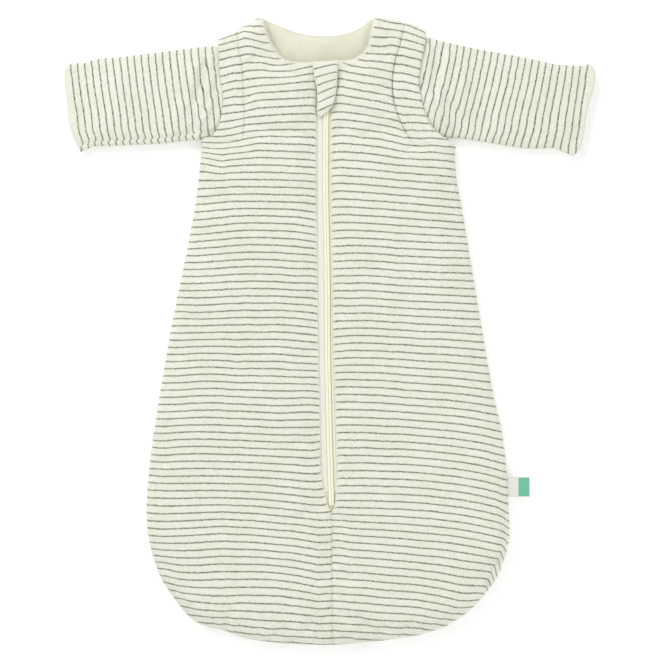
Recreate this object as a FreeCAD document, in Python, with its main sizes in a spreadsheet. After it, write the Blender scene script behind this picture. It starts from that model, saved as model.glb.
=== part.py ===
"""Padded baby sleeping bag, 70 cm size, lying flat on its back with its front up.

X is across the bag, +Y is towards the head and +Z is up. The origin is under the middle of the
bag on the floor. Every cloth layer is a solid of its own; the zips, the guard flap over the main
slider and the zip-on sleeves are separate pieces. Lengths are in millimetres.
"""
import FreeCAD, Part
import math
import os

import Sketcher
from FreeCAD import Placement, Rotation, Vector

# Driving dimensions. Names ending in _x, _y or _z are places, the others are sizes.
DIMS = {
    # outline of the bag, clockwise from the left of the neck
    "head_y": 350.0, "neck_left_x": -76.0, "neck_right_x": 57.0,
    "shoulder_left_x": -103.0, "shoulder_left_y": 335.0,
    "shoulder_right_x": 77.0, "shoulder_right_y": 341.0,
    "arm_left_x": -96.5, "arm_left_y": 222.0, "arm_right_x": 75.0, "arm_right_y": 223.0,
    "underarm_left_x": -142.0, "underarm_left_y": 211.0,
    "underarm_right_x": 140.5, "underarm_right_y": 205.0,
    "hip_left_x": -190.0, "hip_right_x": 183.0, "hip_y": -72.0,
    "wide_left_x": -205.4, "wide_right_x": 202.0, "wide_y": -192.0,
    "curve_left_x": -184.0, "curve_right_x": 179.0, "curve_y": -285.0,
    "foot_left_x": -104.0, "foot_right_x": 98.0, "foot_y": -340.0,
    "hem_x": -2.0, "hem_y": -350.0,
    # neckline: the front is cut deeper than the back
    "back_neck_left_x": -64.0, "back_neck_right_x": 49.0, "back_neck_x": -4.5, "back_neck_y": 330.0,
    "front_neck_y": 301.3, "front_neck_left_x": -40.0, "front_neck_right_x": 12.0,
    "neck_bend_left_x": -58.0, "neck_bend_right_x": 35.0, "neck_bend_y": 309.0,
    "neck_side_left_x": -67.0, "neck_side_right_x": 45.0, "neck_side_y": 326.0,
    "neck_edge_left_x": -73.0, "neck_edge_right_x": 50.0, "beyond_y": 365.0,
    # cloth layers, from the floor up, and the same again down from the front
    "floor_z": 0.0, "outer": 1.2, "wadding": 2.4, "lining": 0.8, "seam_z": 10.0, "front_z": 20.0,
    # main zip, in a frame of its own: y runs up from the zip's foot, x is from the zip's middle
    "zip_foot_x": 1.7, "zip_foot_y": -199.0, "zip_length": 500.0, "zip_lean": 0.71,
    "tape_left": 9.5, "tape_right": 5.2, "tape_bottom_z": 17.2, "tape_top_z": 18.0,
    "chain": 3.15, "chain_gap": 0.3, "tape_gap": 0.6, "coil_top_z": 19.9, "coil_end": 483.0, "coil_fork": 473.0,
    "fork_gap": 1.4, "lapel_foot": 19.0, "fold_foot": 12.0, "fold_left": 47.0, "fold_right": 42.5,
    "fold_clear": 0.2, "lapel_end": 520.0, "window_foot": 3.0, "window_tip": 0.5,
    "top_stop": 4.0, "top_stop_z": 20.4, "bottom_stop": 9.0, "bottom_stop_end": 14.0,
    "slider_half": 4.8, "slider_foot": 469.0, "slider_head": 482.0, "bridge_foot": 475.5,
    "bridge_half": 1.0, "slider_low_z": 15.9, "slider_floor_z": 16.9, "slider_roof_z": 20.2,
    "slider_top_z": 21.2, "lug_half": 1.2, "lug_foot": 471.0, "lug_head": 475.0, "lug_z": 23.2,
    "pin": 0.45, "pin_bore": 0.5, "pin_y": 473.0, "pin_z": 22.35, "tab_half": 3.3,
    "tab_foot": 449.0, "tab_slot_foot": 469.0, "tab_slot": 1.5, "tab_end": 473.6,
    "tab_low_z": 21.8, "tab_top_z": 22.9,
    # guard flap over the slider, sewn down on the right of the zip at the neck
    "guard_left_x": -19.0, "guard_low_x": -17.5, "guard_tip_x": -12.8, "guard_slope_x": 4.5,
    "guard_right_x": 8.9, "guard_top_y": 298.0, "guard_low_y": 250.0, "guard_tip_y": 238.0,
    "guard_slope_y": 252.0, "guard_base_x": -2.5, "guard_base_y": 290.0, "guard_base_z": 22.5,
    "guard_z": 23.5, "guard_mid_z": 24.3, "guard_top_z": 25.5,
    # armhole flaps and the sleeve zips beneath them
    "flap": 1.6, "flap_gap": 0.4, "flap_left_x": -122.6, "flap_right_x": 101.6,
    "flap_low_left_y": 217.4, "flap_low_right_y": 216.5, "flap_top_left_y": 325.5,
    "flap_top_right_y": 330.0, "ring_left_x": -103.2, "ring_right_x": 79.0,
    "ring_low_left_y": 226.0, "ring_low_right_y": 229.0, "ring_top_left_y": 314.0,
    "ring_top_right_y": 321.0, "ring_low_z": 4.0, "ring_top_z": 15.6, "ring_tape": 0.8,
    "ring_tape_width": 6.3, "ring_coil": 0.6, "ring_coil_width": 2.0, "ring_parting": 1.2,
    "ring_edge": 0.3, "arm_slider": 9.0, "arm_slider_gap": 0.3, "arm_slider_wall": 0.6,
    "arm_slider_over": 0.8, "arm_bridge": 0.3, "arm_tab": 12.0, "arm_tab_half": 1.6, "arm_tab_gap": 0.2,
    "arm_tab_hinge": 3.0,
    # sleeves, from the flap's edge to the cuff
    "sleeve_left_x": -123.3, "sleeve_right_x": 102.3, "sleeve_z": 16.0, "sleeve_wadding": 1.6,
    "sleeve_top_left_y": 318.0, "sleeve_top_right_y": 326.5,
    "sleeve_low_left_y": 217.2, "sleeve_low_right_y": 221.0,
    "cuff_top_left_x": -290.0, "cuff_top_right_x": 289.0,
    "cuff_top_left_y": 301.5, "cuff_top_right_y": 299.0,
    "cuff_tip_left_x": -295.3, "cuff_tip_right_x": 295.3,
    "cuff_tip_left_y": 290.0, "cuff_tip_right_y": 290.0,
    "cuff_bend_left_x": -290.0, "cuff_bend_right_x": 285.0,
    "cuff_bend_left_y": 234.0, "cuff_bend_right_y": 225.0,
    "cuff_low_left_x": -276.0, "cuff_low_right_x": 273.0,
    "cuff_low_left_y": 202.5, "cuff_low_right_y": 199.0,
    # label in the right side seam
    "label_in_x": 190.0, "label_out_x": 224.0, "label_low_y": -184.8, "label_top_y": -162.7,
    "label_low_z": 9.6, "label_top_z": 10.4, "bar_in_x": 211.0, "bar_out_x": 222.6,
    "bar_margin": 0.8, "bar_top_z": 10.6,
}

SHEET = "dims"
doc = FreeCAD.newDocument("baby_sleeping_bag")
sheet = doc.addObject("Spreadsheet::Sheet", SHEET)
for row, (alias, number) in enumerate(DIMS.items(), start=1):
    sheet.set(f"A{row}", alias)
    sheet.set(f"B{row}", str(number))
    sheet.setAlias(f"B{row}", alias)
doc.recompute()

PARTS = {}   # node name: the document object that is that sub-part


def value(text):
    """The number that a sum of dimensions such as "coil_end - top_stop" comes to."""
    total, sign = 0.0, 1.0
    for word in text.split():
        if word in ("+", "-"):
            sign = 1.0 if word == "+" else -1.0
        else:
            total += sign * (sheet.get(word) if word in DIMS else float(word))
    return total


def cell(text):
    """The same sum as an expression that reads the sheet."""
    return " ".join(f"{SHEET}.{word}" if word in DIMS else word for word in text.split())


def point(corner):
    return Vector(value(corner[0]), value(corner[1]), 0)


def outline(name, corners, placement=Placement()):
    """A closed sketch. A corner is (x, y), or (via x, via y, x, y) where an arc leads to it."""
    sketch = doc.addObject("Sketcher::SketchObject", name)
    sketch.Placement = placement

    def bind(kind, geometry, position, text):
        index = sketch.addConstraint(Sketcher.Constraint(kind, -1, 1, geometry, position, value(text)))
        sketch.setExpression(f"Constraints[{index}]", cell(text))

    ends = [corner[-2:] for corner in corners]
    edges = []
    for here, step in zip(ends, corners[1:] + corners[:1]):
        if len(step) == 4:
            curve = Part.Arc(point(here), point(step[:2]), point(step[2:]))
        else:
            curve = Part.LineSegment(point(here), point(step))
        index = sketch.addGeometry(curve)
        first = 1 if (sketch.getPoint(index, 1) - point(here)).Length < 0.001 else 2
        edges.append((index, first))
    for number, (index, first) in enumerate(edges):
        before, before_first = edges[number - 1]
        sketch.addConstraint(Sketcher.Constraint("Coincident", before, 3 - before_first, index, first))
        bind("DistanceX", index, first, ends[number][0])
        bind("DistanceY", index, first, ends[number][1])
    for (index, first), step in zip(edges, corners[1:] + corners[:1]):
        if len(step) == 4:
            via = sketch.addGeometry(Part.Point(point(step[:2])), True)
            bind("DistanceX", via, 1, step[0])
            bind("DistanceY", via, 1, step[1])
            sketch.addConstraint(Sketcher.Constraint("PointOnObject", via, 1, index))
    return sketch


def inset(name, sketch, text):
    """The sketch's outline moved inwards."""
    smaller = doc.addObject("Part::Offset2D", name)
    smaller.Source = sketch
    smaller.setExpression("Value", f"-({cell(text)})")
    return smaller


def slab(name, sketch, low, high):
    """The outline raised from one height to another."""
    solid = doc.addObject("Part::Extrusion", name)
    solid.Base = sketch
    solid.DirMode = "Custom"
    solid.Dir = Vector(0, 0, 1)
    solid.Solid = True
    solid.setExpression("LengthFwd", cell(high))
    solid.setExpression("LengthRev", f"-({cell(low)})")
    return solid


def block(name, x_pair, y_pair, z_pair):
    """A box between two places on each axis, given in either order."""
    box = doc.addObject("Part::Box", name)
    for axis, size, pair in (("x", "Length", x_pair), ("y", "Width", y_pair), ("z", "Height", z_pair)):
        low, high = sorted(pair, key=value)
        box.setExpression(f"Placement.Base.{axis}", cell(low))
        box.setExpression(size, f"({cell(high)}) - ({cell(low)})")
    return box


def fuse(name, *solids):
    joined = doc.addObject("Part::MultiFuse", name)
    joined.Shapes = list(solids)
    return joined


def cut(name, base, *tools):
    result = doc.addObject("Part::Cut", name)
    result.Base = base
    result.Tool = tools[0] if len(tools) == 1 else fuse(name + "_tools", *tools)
    return result


def common(name, *solids):
    result = doc.addObject("Part::MultiCommon", name)
    result.Shapes = list(solids)
    return result


def part(name, solid):
    """Names a finished sub-part."""
    solid.Label = name
    PARTS[name] = solid


LAYERS = ("outer", "wadding", "lining")
BACK_Z = ("floor_z", "outer", "outer + wadding", "outer + wadding + lining")
FRONT_Z = ("front_z", "front_z - outer", "front_z - outer - wadding",
           "front_z - outer - wadding - lining")
ZIP = Placement(Vector(DIMS["zip_foot_x"], DIMS["zip_foot_y"], 0),
                Rotation(Vector(0, 0, 1), DIMS["zip_lean"]))
OUTWARD = {"left": "-", "right": "+"}

# ---- outlines shared by the layers of the bag ----
bag = outline("bag_outline", [
    ("neck_left_x", "head_y"), ("shoulder_left_x", "shoulder_left_y"), ("arm_left_x", "arm_left_y"),
    ("underarm_left_x", "underarm_left_y"), ("hip_left_x", "hip_y"), ("wide_left_x", "wide_y"),
    ("curve_left_x", "curve_y", "foot_left_x", "foot_y"),
    ("hem_x", "hem_y", "foot_right_x", "foot_y"),
    ("curve_right_x", "curve_y", "wide_right_x", "wide_y"),
    ("hip_right_x", "hip_y"), ("underarm_right_x", "underarm_right_y"),
    ("arm_right_x", "arm_right_y"), ("shoulder_right_x", "shoulder_right_y"),
    ("neck_right_x", "head_y")])
BAG = [bag] + [inset(f"bag_inside_{layer}", bag, depth) for layer, depth in zip(LAYERS, BACK_Z[1:])]

back_neck = outline("back_neck_outline", [
    ("back_neck_left_x", "head_y"), ("back_neck_x", "back_neck_y", "back_neck_right_x", "head_y"),
    ("back_neck_right_x", "beyond_y"), ("back_neck_left_x", "beyond_y")])
front_neck = outline("front_neck_outline", [
    ("neck_edge_left_x", "beyond_y"), ("neck_side_left_x", "neck_side_y"),
    ("neck_bend_left_x", "neck_bend_y", "front_neck_left_x", "front_neck_y"),
    ("front_neck_right_x", "front_neck_y"),
    ("neck_bend_right_x", "neck_bend_y", "neck_side_right_x", "neck_side_y"),
    ("neck_edge_right_x", "beyond_y")])
back_neck_cut = slab("back_neck_cut", back_neck, "seam_z - front_z", "front_z + seam_z")
front_neck_cut = slab("front_neck_cut", front_neck, "seam_z - front_z", "front_z + seam_z")


def passages(name, low, high):
    """The neck and the two armholes, where the two faces of the bag aren't sewn together."""
    neck = block(name + "_neck", ("neck_side_left_x", "neck_side_right_x"),
                 ("guard_base_y", "beyond_y"), (low, high))
    arms = [block(f"{name}_arm_{side}", (f"arm_{side}_x {inner} 10", f"flap_{side}_x"),
                  (f"ring_low_{side}_y", f"ring_top_{side}_y"), (low, high))
            for side, inner in (("left", "+"), ("right", "-"))]
    return [neck] + arms


# ---- back of the bag: three nested trays, open at the neck and armholes ----
for number, layer in enumerate(LAYERS):
    tray = slab(f"back_{layer}_blank", BAG[number], BACK_Z[number], "seam_z")
    hollow = slab(f"back_{layer}_hollow", BAG[number + 1], BACK_Z[number + 1], "seam_z + 1")
    ways = passages(f"back_{layer}_way", BACK_Z[number + 1], "seam_z + 1")
    part(f"back_{layer}", cut(f"back_{layer}_cut", tray, back_neck_cut, hollow, *ways))

# ---- front of the bag: the same trays upside down, split at the zip, with folding lapels ----
opening = outline("front_opening", [
    ("- fold_left - fold_clear", "lapel_end"), ("- fold_foot - fold_clear", "lapel_foot"),
    ("- tape_left", "lapel_foot"), ("- tape_left", "window_foot"), ("chain_gap", "window_tip"),
    ("tape_right", "window_foot"), ("tape_right", "lapel_foot"),
    ("fold_foot + fold_clear", "lapel_foot"), ("fold_right + fold_clear", "lapel_end")], ZIP)
opening_cut = slab("front_opening_cut", opening, "seam_z - 1", "front_z + 1")
HALF = {
    "left": block("left_half", ("wide_left_x - 20", "zip_foot_x"), ("hem_y - 10", "beyond_y"),
                  ("seam_z - 1", "front_z + 1")),
    "right": block("right_half", ("zip_foot_x", "wide_right_x + 20"), ("hem_y - 10", "beyond_y"),
                   ("seam_z - 1", "front_z + 1")),
}
LAPEL = {
    "left": outline("lapel_left_outline", [
        ("- fold_left + fold_clear", "lapel_end"), ("- fold_foot + fold_clear", "lapel_foot + 0.3"),
        ("- tape_left", "lapel_foot + 0.3"), ("- tape_left", "lapel_end")], ZIP),
    "right": outline("lapel_right_outline", [
        ("tape_right", "lapel_end"), ("tape_right", "lapel_foot + 0.3"),
        ("fold_foot - fold_clear", "lapel_foot + 0.3"),
        ("fold_right - fold_clear", "lapel_end")], ZIP),
}
for number, layer in enumerate(LAYERS):
    tray = slab(f"front_{layer}_blank", BAG[number], "seam_z", FRONT_Z[number])
    hollow = slab(f"front_{layer}_hollow", BAG[number + 1], "seam_z - 1", FRONT_Z[number + 1])
    ways = passages(f"front_{layer}_way", "seam_z - 1", FRONT_Z[number + 1])
    front = cut(f"front_{layer}_cut", tray, front_neck_cut, opening_cut, hollow, *ways)
    for side in ("left", "right"):
        part(f"front_{side}_{layer}", common(f"front_{side}_{layer}_half", front, HALF[side]))
        blank = slab(f"lapel_{side}_{layer}_blank", LAPEL[side], FRONT_Z[number + 1], FRONT_Z[number])
        part(f"lapel_{side}_{layer}", cut(f"lapel_{side}_{layer}_cut", blank, front_neck_cut))

# ---- main zip: two tapes with coils, stops, slider and pull tab ----
for side, out in OUTWARD.items():
    tape = outline(f"zip_tape_{side}_outline", [
        (f"{out} tape_gap", "lapel_foot + 0.3"), (f"{out} tape_{side}", "lapel_foot + 0.3"),
        (f"{out} tape_{side}", "lapel_end"), (f"{out} fork_gap", "lapel_end"),
        (f"{out} fork_gap", "coil_fork"), (f"{out} tape_gap", "coil_fork - chain")], ZIP)
    blank = slab(f"zip_tape_{side}_blank", tape, "tape_bottom_z", "tape_top_z")
    part(f"zip_tape_{side}", cut(f"zip_tape_{side}_cut", blank, front_neck_cut))
    coil = outline(f"zip_coil_{side}_outline", [
        (f"{out} chain_gap", "lapel_foot + 0.3"), (f"{out} chain", "lapel_foot + 0.3"),
        (f"{out} chain", "coil_end"), (f"{out} fork_gap", "coil_end"),
        (f"{out} fork_gap", "coil_fork"), (f"{out} chain_gap", "coil_fork - chain")], ZIP)
    part(f"zip_coil_{side}", slab(f"zip_coil_{side}_solid", coil, "tape_top_z", "coil_top_z"))
    stop = outline(f"zip_top_stop_{side}_outline", [
        (f"{out} fork_gap", "coil_end"), (f"{out} chain", "coil_end"),
        (f"{out} chain", "coil_end + top_stop"), (f"{out} fork_gap", "coil_end + top_stop")], ZIP)
    part(f"zip_top_stop_{side}", slab(f"zip_top_stop_{side}_solid", stop, "tape_top_z", "top_stop_z"))

tape_base = outline("zip_tape_base_outline", [
    ("- tape_left", "lapel_foot"), ("- tape_left", "window_foot"), ("chain_gap", "window_tip"),
    ("tape_right", "window_foot"), ("tape_right", "lapel_foot")], ZIP)
part("zip_tape_base", slab("zip_tape_base_solid", tape_base, "tape_bottom_z", "tape_top_z"))
bottom_stop = outline("zip_bottom_stop_outline", [
    ("- chain", "bottom_stop"), ("chain", "bottom_stop"), ("chain", "bottom_stop_end"),
    ("- chain", "bottom_stop_end")], ZIP)
part("zip_bottom_stop", slab("zip_bottom_stop_solid", bottom_stop, "tape_top_z", "top_stop_z"))


def zip_rectangle(name, half, low, high):
    return outline(name, [("- " + half, low), (half, low), (half, high), ("- " + half, high)], ZIP)


def cross_rod(name, radius, half):
    """A rod across the zip, on the pull tab's pin line."""
    rod = doc.addObject("Part::Cylinder", name)
    rod.setExpression("Radius", cell(radius))
    rod.setExpression("Height", f"2 * {cell(half)}")
    start = Vector(-DIMS[half], DIMS["pin_y"], DIMS["pin_z"])
    rod.Placement = ZIP.multiply(Placement(start, Rotation(Vector(0, 1, 0), 90)))
    return rod


plate = zip_rectangle("slider_plate_outline", "slider_half", "slider_foot", "slider_head")
bridge = zip_rectangle("slider_bridge_outline", "bridge_half", "bridge_foot", "slider_head")
lug = zip_rectangle("slider_lug_outline", "lug_half", "lug_foot", "lug_head")
slider = fuse("slider_blank",
              slab("slider_floor", plate, "slider_low_z", "slider_floor_z"),
              slab("slider_bridge", bridge, "slider_floor_z", "slider_roof_z"),
              slab("slider_roof", plate, "slider_roof_z", "slider_top_z"),
              slab("slider_lug", lug, "slider_top_z", "lug_z"))
part("zip_slider", cut("zip_slider_cut", slider, cross_rod("slider_bore", "pin_bore", "tab_half")))

tab = zip_rectangle("tab_outline", "tab_half", "tab_foot", "tab_end")
tab_slot = zip_rectangle("tab_slot_outline", "tab_slot", "tab_slot_foot", "tab_end + 1")
forked_tab = cut("tab_forked", slab("tab_blank", tab, "tab_low_z", "tab_top_z"),
                 slab("tab_slot_solid", tab_slot, "tab_low_z - 1", "tab_top_z + 1"))
part("zip_pull_tab", fuse("zip_pull_tab_solid", forked_tab, cross_rod("tab_pin", "pin", "tab_half")))

# ---- guard flap over the slider ----
guard = outline("guard_outline", [
    ("guard_left_x", "guard_top_y"), ("guard_low_x", "guard_low_y"), ("guard_tip_x", "guard_tip_y"),
    ("guard_slope_x", "guard_slope_y"), ("guard_right_x", "guard_top_y")])
part("zip_guard_lining", slab("zip_guard_lining_solid", guard, "guard_z", "guard_mid_z"))
part("zip_guard_outer", slab("zip_guard_outer_solid", guard, "guard_mid_z", "guard_top_z"))
part("zip_guard_base", block("zip_guard_base_block", ("guard_base_x", "guard_right_x"),
                             ("guard_base_y", "guard_top_y"), ("front_z", "guard_base_z")))


def ring(name, side, near, far, proud=""):
    """A band of tape or coil round the flattened armhole, from near to far along X."""
    low, high, inward = f"ring_low_{side}_y", f"ring_top_{side}_y", proud.replace("+", "-")
    around = block(name + "_around", (near, far), (low + inward, high + proud),
                   ("ring_low_z" + inward, "ring_top_z" + proud))
    within = block(name + "_within", (near, far), (f"{low} + ring_tape", f"{high} - ring_tape"),
                   ("ring_low_z + ring_tape", "ring_top_z - ring_tape"))
    return cut(name + "_solid", around, within)


def armhole(side):
    """The cover flaps over the sleeve's zip, and the zip itself with its slider."""
    out = OUTWARD[side]
    flap = outline(f"flap_{side}_outline", [
        (f"shoulder_{side}_x {out} flap_gap", f"shoulder_{side}_y - flap_gap"),
        (f"flap_{side}_x", f"flap_top_{side}_y"), (f"flap_{side}_x", f"flap_low_{side}_y"),
        (f"arm_{side}_x {out} flap_gap", f"arm_{side}_y + flap_gap")])
    part(f"armhole_flap_{side}_front", slab(f"flap_{side}_front", flap, "front_z - flap", "front_z"))
    part(f"armhole_flap_{side}_back", slab(f"flap_{side}_back", flap, BACK_Z[0], "flap"))

    tape_end = f"ring_{side}_x {out} ring_tape_width"
    coil_end = f"{tape_end} {out} ring_coil_width"
    sleeve_coil = f"{coil_end} {out} ring_parting"
    sleeve_tape = f"{sleeve_coil} {out} ring_coil_width"
    part(f"armhole_tape_{side}", ring(f"armhole_tape_{side}", side, f"ring_{side}_x", tape_end))
    part(f"armhole_coil_{side}", ring(f"armhole_coil_{side}", side, tape_end, coil_end,
                                      " + ring_coil"))
    part(f"sleeve_{side}_zip_coil", ring(f"sleeve_coil_{side}", side, sleeve_coil, sleeve_tape,
                                         " + ring_coil"))
    part(f"sleeve_{side}_zip_tape", ring(f"sleeve_tape_{side}", side, sleeve_tape,
                                         f"flap_{side}_x {out} ring_edge"))

    inner = {"left": "+", "right": "-"}[side]
    across = (f"{tape_end} {inner} arm_slider_over", f"{sleeve_tape} {out} arm_slider_over")
    slider_y = f"ring_top_{side}_y - ring_tape - arm_slider_gap"
    along = (slider_y + " - arm_slider", slider_y)
    middle = (f"{coil_end} {out} arm_bridge", f"{sleeve_coil} {inner} arm_bridge")
    over_z = "ring_top_z + ring_coil + arm_slider_gap"
    under_z = "ring_top_z - ring_tape - arm_slider_gap"
    part(f"sleeve_{side}_zip_slider", fuse(
        f"sleeve_slider_{side}",
        block(f"sleeve_slider_{side}_over", across, along, (over_z, over_z + " + arm_slider_wall")),
        block(f"sleeve_slider_{side}_under", across, along, (under_z, under_z + " - arm_slider_wall")),
        block(f"sleeve_slider_{side}_bridge", middle, along, (under_z, over_z))))
    tab_z = over_z + " + arm_slider_wall + arm_tab_gap"
    tab_x = f"{coil_end} {out} arm_bridge {out} arm_bridge"
    tab_y = f"ring_top_{side}_y - arm_tab_hinge"
    part(f"sleeve_{side}_zip_pull", block(
        f"sleeve_pull_{side}", (tab_x + " - arm_tab_half", tab_x + " + arm_tab_half"),
        (tab_y, tab_y + " - arm_tab"), (tab_z, tab_z + " + arm_slider_wall")))


def sleeve(side):
    """Three nested flattened tubes, open at the armhole end and at the cuff."""
    out = OUTWARD[side]
    inner = {"left": "+", "right": "-"}[side]
    whole = outline(f"sleeve_{side}_outline", [
        (f"sleeve_{side}_x", f"sleeve_top_{side}_y"),
        (f"cuff_top_{side}_x", f"cuff_top_{side}_y"), (f"cuff_tip_{side}_x", f"cuff_tip_{side}_y"),
        (f"cuff_bend_{side}_x", f"cuff_bend_{side}_y"), (f"cuff_low_{side}_x", f"cuff_low_{side}_y"),
        (f"sleeve_{side}_x", f"sleeve_low_{side}_y")])
    shell = slab(f"sleeve_{side}_blank", whole, BACK_Z[0], "sleeve_z")
    depth = ""
    for layer in LAYERS:
        wall = "sleeve_wadding" if layer == "wadding" else layer
        depth += f" + {wall}"
        up, down = depth, depth.replace("+", "-")
        root_x, cuff_x = f"sleeve_{side}_x {inner} 5", f"cuff_tip_{side}_x {out} 5"
        inside = outline(f"sleeve_{side}_inside_{layer}", [
            (root_x, f"sleeve_low_{side}_y{up}"), (root_x, f"sleeve_top_{side}_y{down}"),
            (cuff_x, f"cuff_top_{side}_y{down}"), (cuff_x, f"cuff_low_{side}_y{up}")])
        bore = slab(f"sleeve_{side}_bore_{layer}", inside, BACK_Z[0] + up, "sleeve_z" + down)
        part(f"sleeve_{side}_{layer}", cut(f"sleeve_{side}_{layer}_cut", shell, bore))
        shell = common(f"sleeve_{side}_within_{layer}", shell, bore)


for side in OUTWARD:
    armhole(side)
    sleeve(side)

# ---- label sewn into the right side seam ----
tag = block("label_blank", ("label_in_x", "label_out_x"), ("label_low_y", "label_top_y"),
            ("label_low_z", "label_top_z"))
part("side_label", cut("label_cut", tag, slab("label_seam", bag, "seam_z - 1", "seam_z + 1")))
part("side_label_bar", block("label_bar", ("bar_in_x", "bar_out_x"),
                             ("label_low_y + bar_margin", "label_top_y - bar_margin"),
                             ("label_top_z", "bar_top_z")))

doc.recompute()
failed = [thing.Name for thing in doc.Objects if {"Invalid", "Error"} & set(thing.State)]
failed += [name for name, thing in PARTS.items() if thing.Shape.isNull() or not thing.Shape.isValid()]
if failed:
    raise SystemExit("failed: " + ", ".join(failed))

os.makedirs("parts", exist_ok=True)
for name, thing in PARTS.items():
    thing.Shape.exportStep(f"parts/{name}.step")
    box = thing.Shape.BoundBox
    print(f"{name:26s} solids {len(thing.Shape.Solids)}  volume {thing.Shape.Volume:10.0f}  "
          f"x {box.XMin:7.1f} {box.XMax:7.1f}  y {box.YMin:7.1f} {box.YMax:7.1f}  "
          f"z {box.ZMin:5.1f} {box.ZMax:5.1f}")
print(len(PARTS), "sub-parts")
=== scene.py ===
import math

import bmesh
import bpy
import numpy as np
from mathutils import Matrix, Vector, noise


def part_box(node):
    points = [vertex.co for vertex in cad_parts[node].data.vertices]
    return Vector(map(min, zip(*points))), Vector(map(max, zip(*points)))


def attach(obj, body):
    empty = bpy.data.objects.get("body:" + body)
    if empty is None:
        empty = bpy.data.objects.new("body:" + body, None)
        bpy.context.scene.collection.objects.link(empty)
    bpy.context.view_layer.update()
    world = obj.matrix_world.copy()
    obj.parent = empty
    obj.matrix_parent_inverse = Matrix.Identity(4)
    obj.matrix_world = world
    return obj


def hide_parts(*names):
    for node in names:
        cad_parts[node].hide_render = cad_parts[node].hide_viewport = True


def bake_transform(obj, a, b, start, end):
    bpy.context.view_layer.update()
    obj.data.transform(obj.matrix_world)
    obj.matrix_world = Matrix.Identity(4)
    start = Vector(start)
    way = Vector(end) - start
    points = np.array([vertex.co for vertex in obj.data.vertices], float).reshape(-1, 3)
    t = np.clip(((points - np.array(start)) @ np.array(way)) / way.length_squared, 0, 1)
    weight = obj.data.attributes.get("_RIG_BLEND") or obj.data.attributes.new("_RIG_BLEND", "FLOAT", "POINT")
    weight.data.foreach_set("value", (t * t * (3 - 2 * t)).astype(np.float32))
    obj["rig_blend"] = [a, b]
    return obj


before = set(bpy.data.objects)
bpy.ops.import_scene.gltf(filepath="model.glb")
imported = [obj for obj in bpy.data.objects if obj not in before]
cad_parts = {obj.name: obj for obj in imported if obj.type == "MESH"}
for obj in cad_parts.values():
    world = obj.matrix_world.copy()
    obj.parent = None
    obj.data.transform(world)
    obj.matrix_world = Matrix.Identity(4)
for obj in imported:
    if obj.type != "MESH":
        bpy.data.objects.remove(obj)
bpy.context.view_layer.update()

# Lengths in this script are millimetres, as in the design; MM turns them into Blender's metres.
MM = 0.001


def node_box(node):
    """(low, high) corners of a CAD node in millimetres."""
    low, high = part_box(node)
    return np.array(low) / MM, np.array(high) / MM


# ---- driving values
FRONT_Z = node_box("front_left_outer")[1][2]  # top of the front
SEAM_Z = node_box("front_left_outer")[0][2]  # where front and back are sewn together
PAD = 3.4  # outer cloth and wadding together, where full
EDGE = 0.8  # a padded piece at its seams
SKIN = 0.9  # lining cloth
CLEAR = 0.15  # between the lining and its panel
GRID = 2.5  # mesh spacing of the large cloth pieces
FINE = 1.5  # mesh spacing of the small ones
ROLL = 15.0  # how far in from the side seam the bag is full
LEFT_PITCH, RIGHT_PITCH = 8.06, 8.29  # stripe to stripe
LEFT_START, RIGHT_START = 15.2, 8.5  # a stripe's height on each panel's own column
ZIP_FOOT = (1.7, -199.0)  # where the zip's middle line starts
TAPE_LEFT, TAPE_RIGHT = 9.5, 5.2  # cloth edges beside the zip's middle line


# ---- curves and tables
def between(a, b, c, d, t):
    """The smooth way from b to c, where a and d are the values on either side of them."""
    return 0.5 * (2 * b + (c - a) * t + (2 * a - 5 * b + 4 * c - d) * t ** 2
                  + (3 * b - a - 3 * c + d) * t ** 3)


def bend_through(points, step=2.0):
    """A smooth curve through the points, as many short straight steps."""
    points = np.array(points, float)
    if len(points) == 2:
        points = np.array([points[0], (points[0] + points[1]) / 2, points[1]])
    ends = np.vstack([2 * points[0] - points[1], points, 2 * points[-1] - points[-2]])
    curve = []
    for a, b, c, d in zip(ends, ends[1:], ends[2:], ends[3:]):
        count = max(2, int(np.linalg.norm(c - b) / step))
        t = np.linspace(0, 1, count, endpoint=False)[:, None]
        curve.append(between(a, b, c, d, t))
    return np.vstack(curve + [points[-1:]])


def outline_of(*runs):
    """A closed outline of smooth runs that meet at corners."""
    return np.vstack([bend_through(run)[:-1] for run in runs])


def spline(knots, values, at):
    """Smooth values at places between rising knots. values may have a column for each place."""
    knots, values = np.array(knots, float), np.array(values, float)
    place = np.interp(at, knots, np.arange(len(knots)))
    i = np.clip(place.astype(int), 0, len(knots) - 2)
    t = place - i
    last = len(knots) - 1
    columns = np.arange(len(at))

    def pick(index):
        index = np.clip(index, 0, last)
        return values[index] if values.ndim == 1 else values[index, columns]

    return between(pick(i - 1), pick(i), pick(i + 1), pick(i + 2), t)


def table(rows, columns, values, x, y):
    """A smooth surface through a small table of values, rows along y and columns along x."""
    along = np.array([spline(columns, row, x) for row in values])
    return spline(rows, along, y)


def distance_to(path, points):
    """Distance from each point to the path, and the nearest places on it."""
    a, b = path[:-1], path[1:]
    edge = b - a
    length2 = np.maximum((edge ** 2).sum(1), 1e-9)
    best = np.full(len(points), 1e9)
    place = np.zeros((len(points), 2))
    for start in range(0, len(points), 4000):
        p = points[start:start + 4000, None, :]
        t = np.clip(((p - a) * edge).sum(2) / length2, 0, 1)
        foot = a + t[..., None] * edge
        gap = np.linalg.norm(p - foot, axis=2)
        nearest = gap.argmin(1)
        rows = np.arange(len(gap))
        best[start:start + 4000] = gap[rows, nearest]
        place[start:start + 4000] = foot[rows, nearest]
    return best, place


def gap_to(run, points):
    """Distance from each point to the smooth curve through a run of places."""
    return distance_to(bend_through(run), points)[0]


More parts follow.
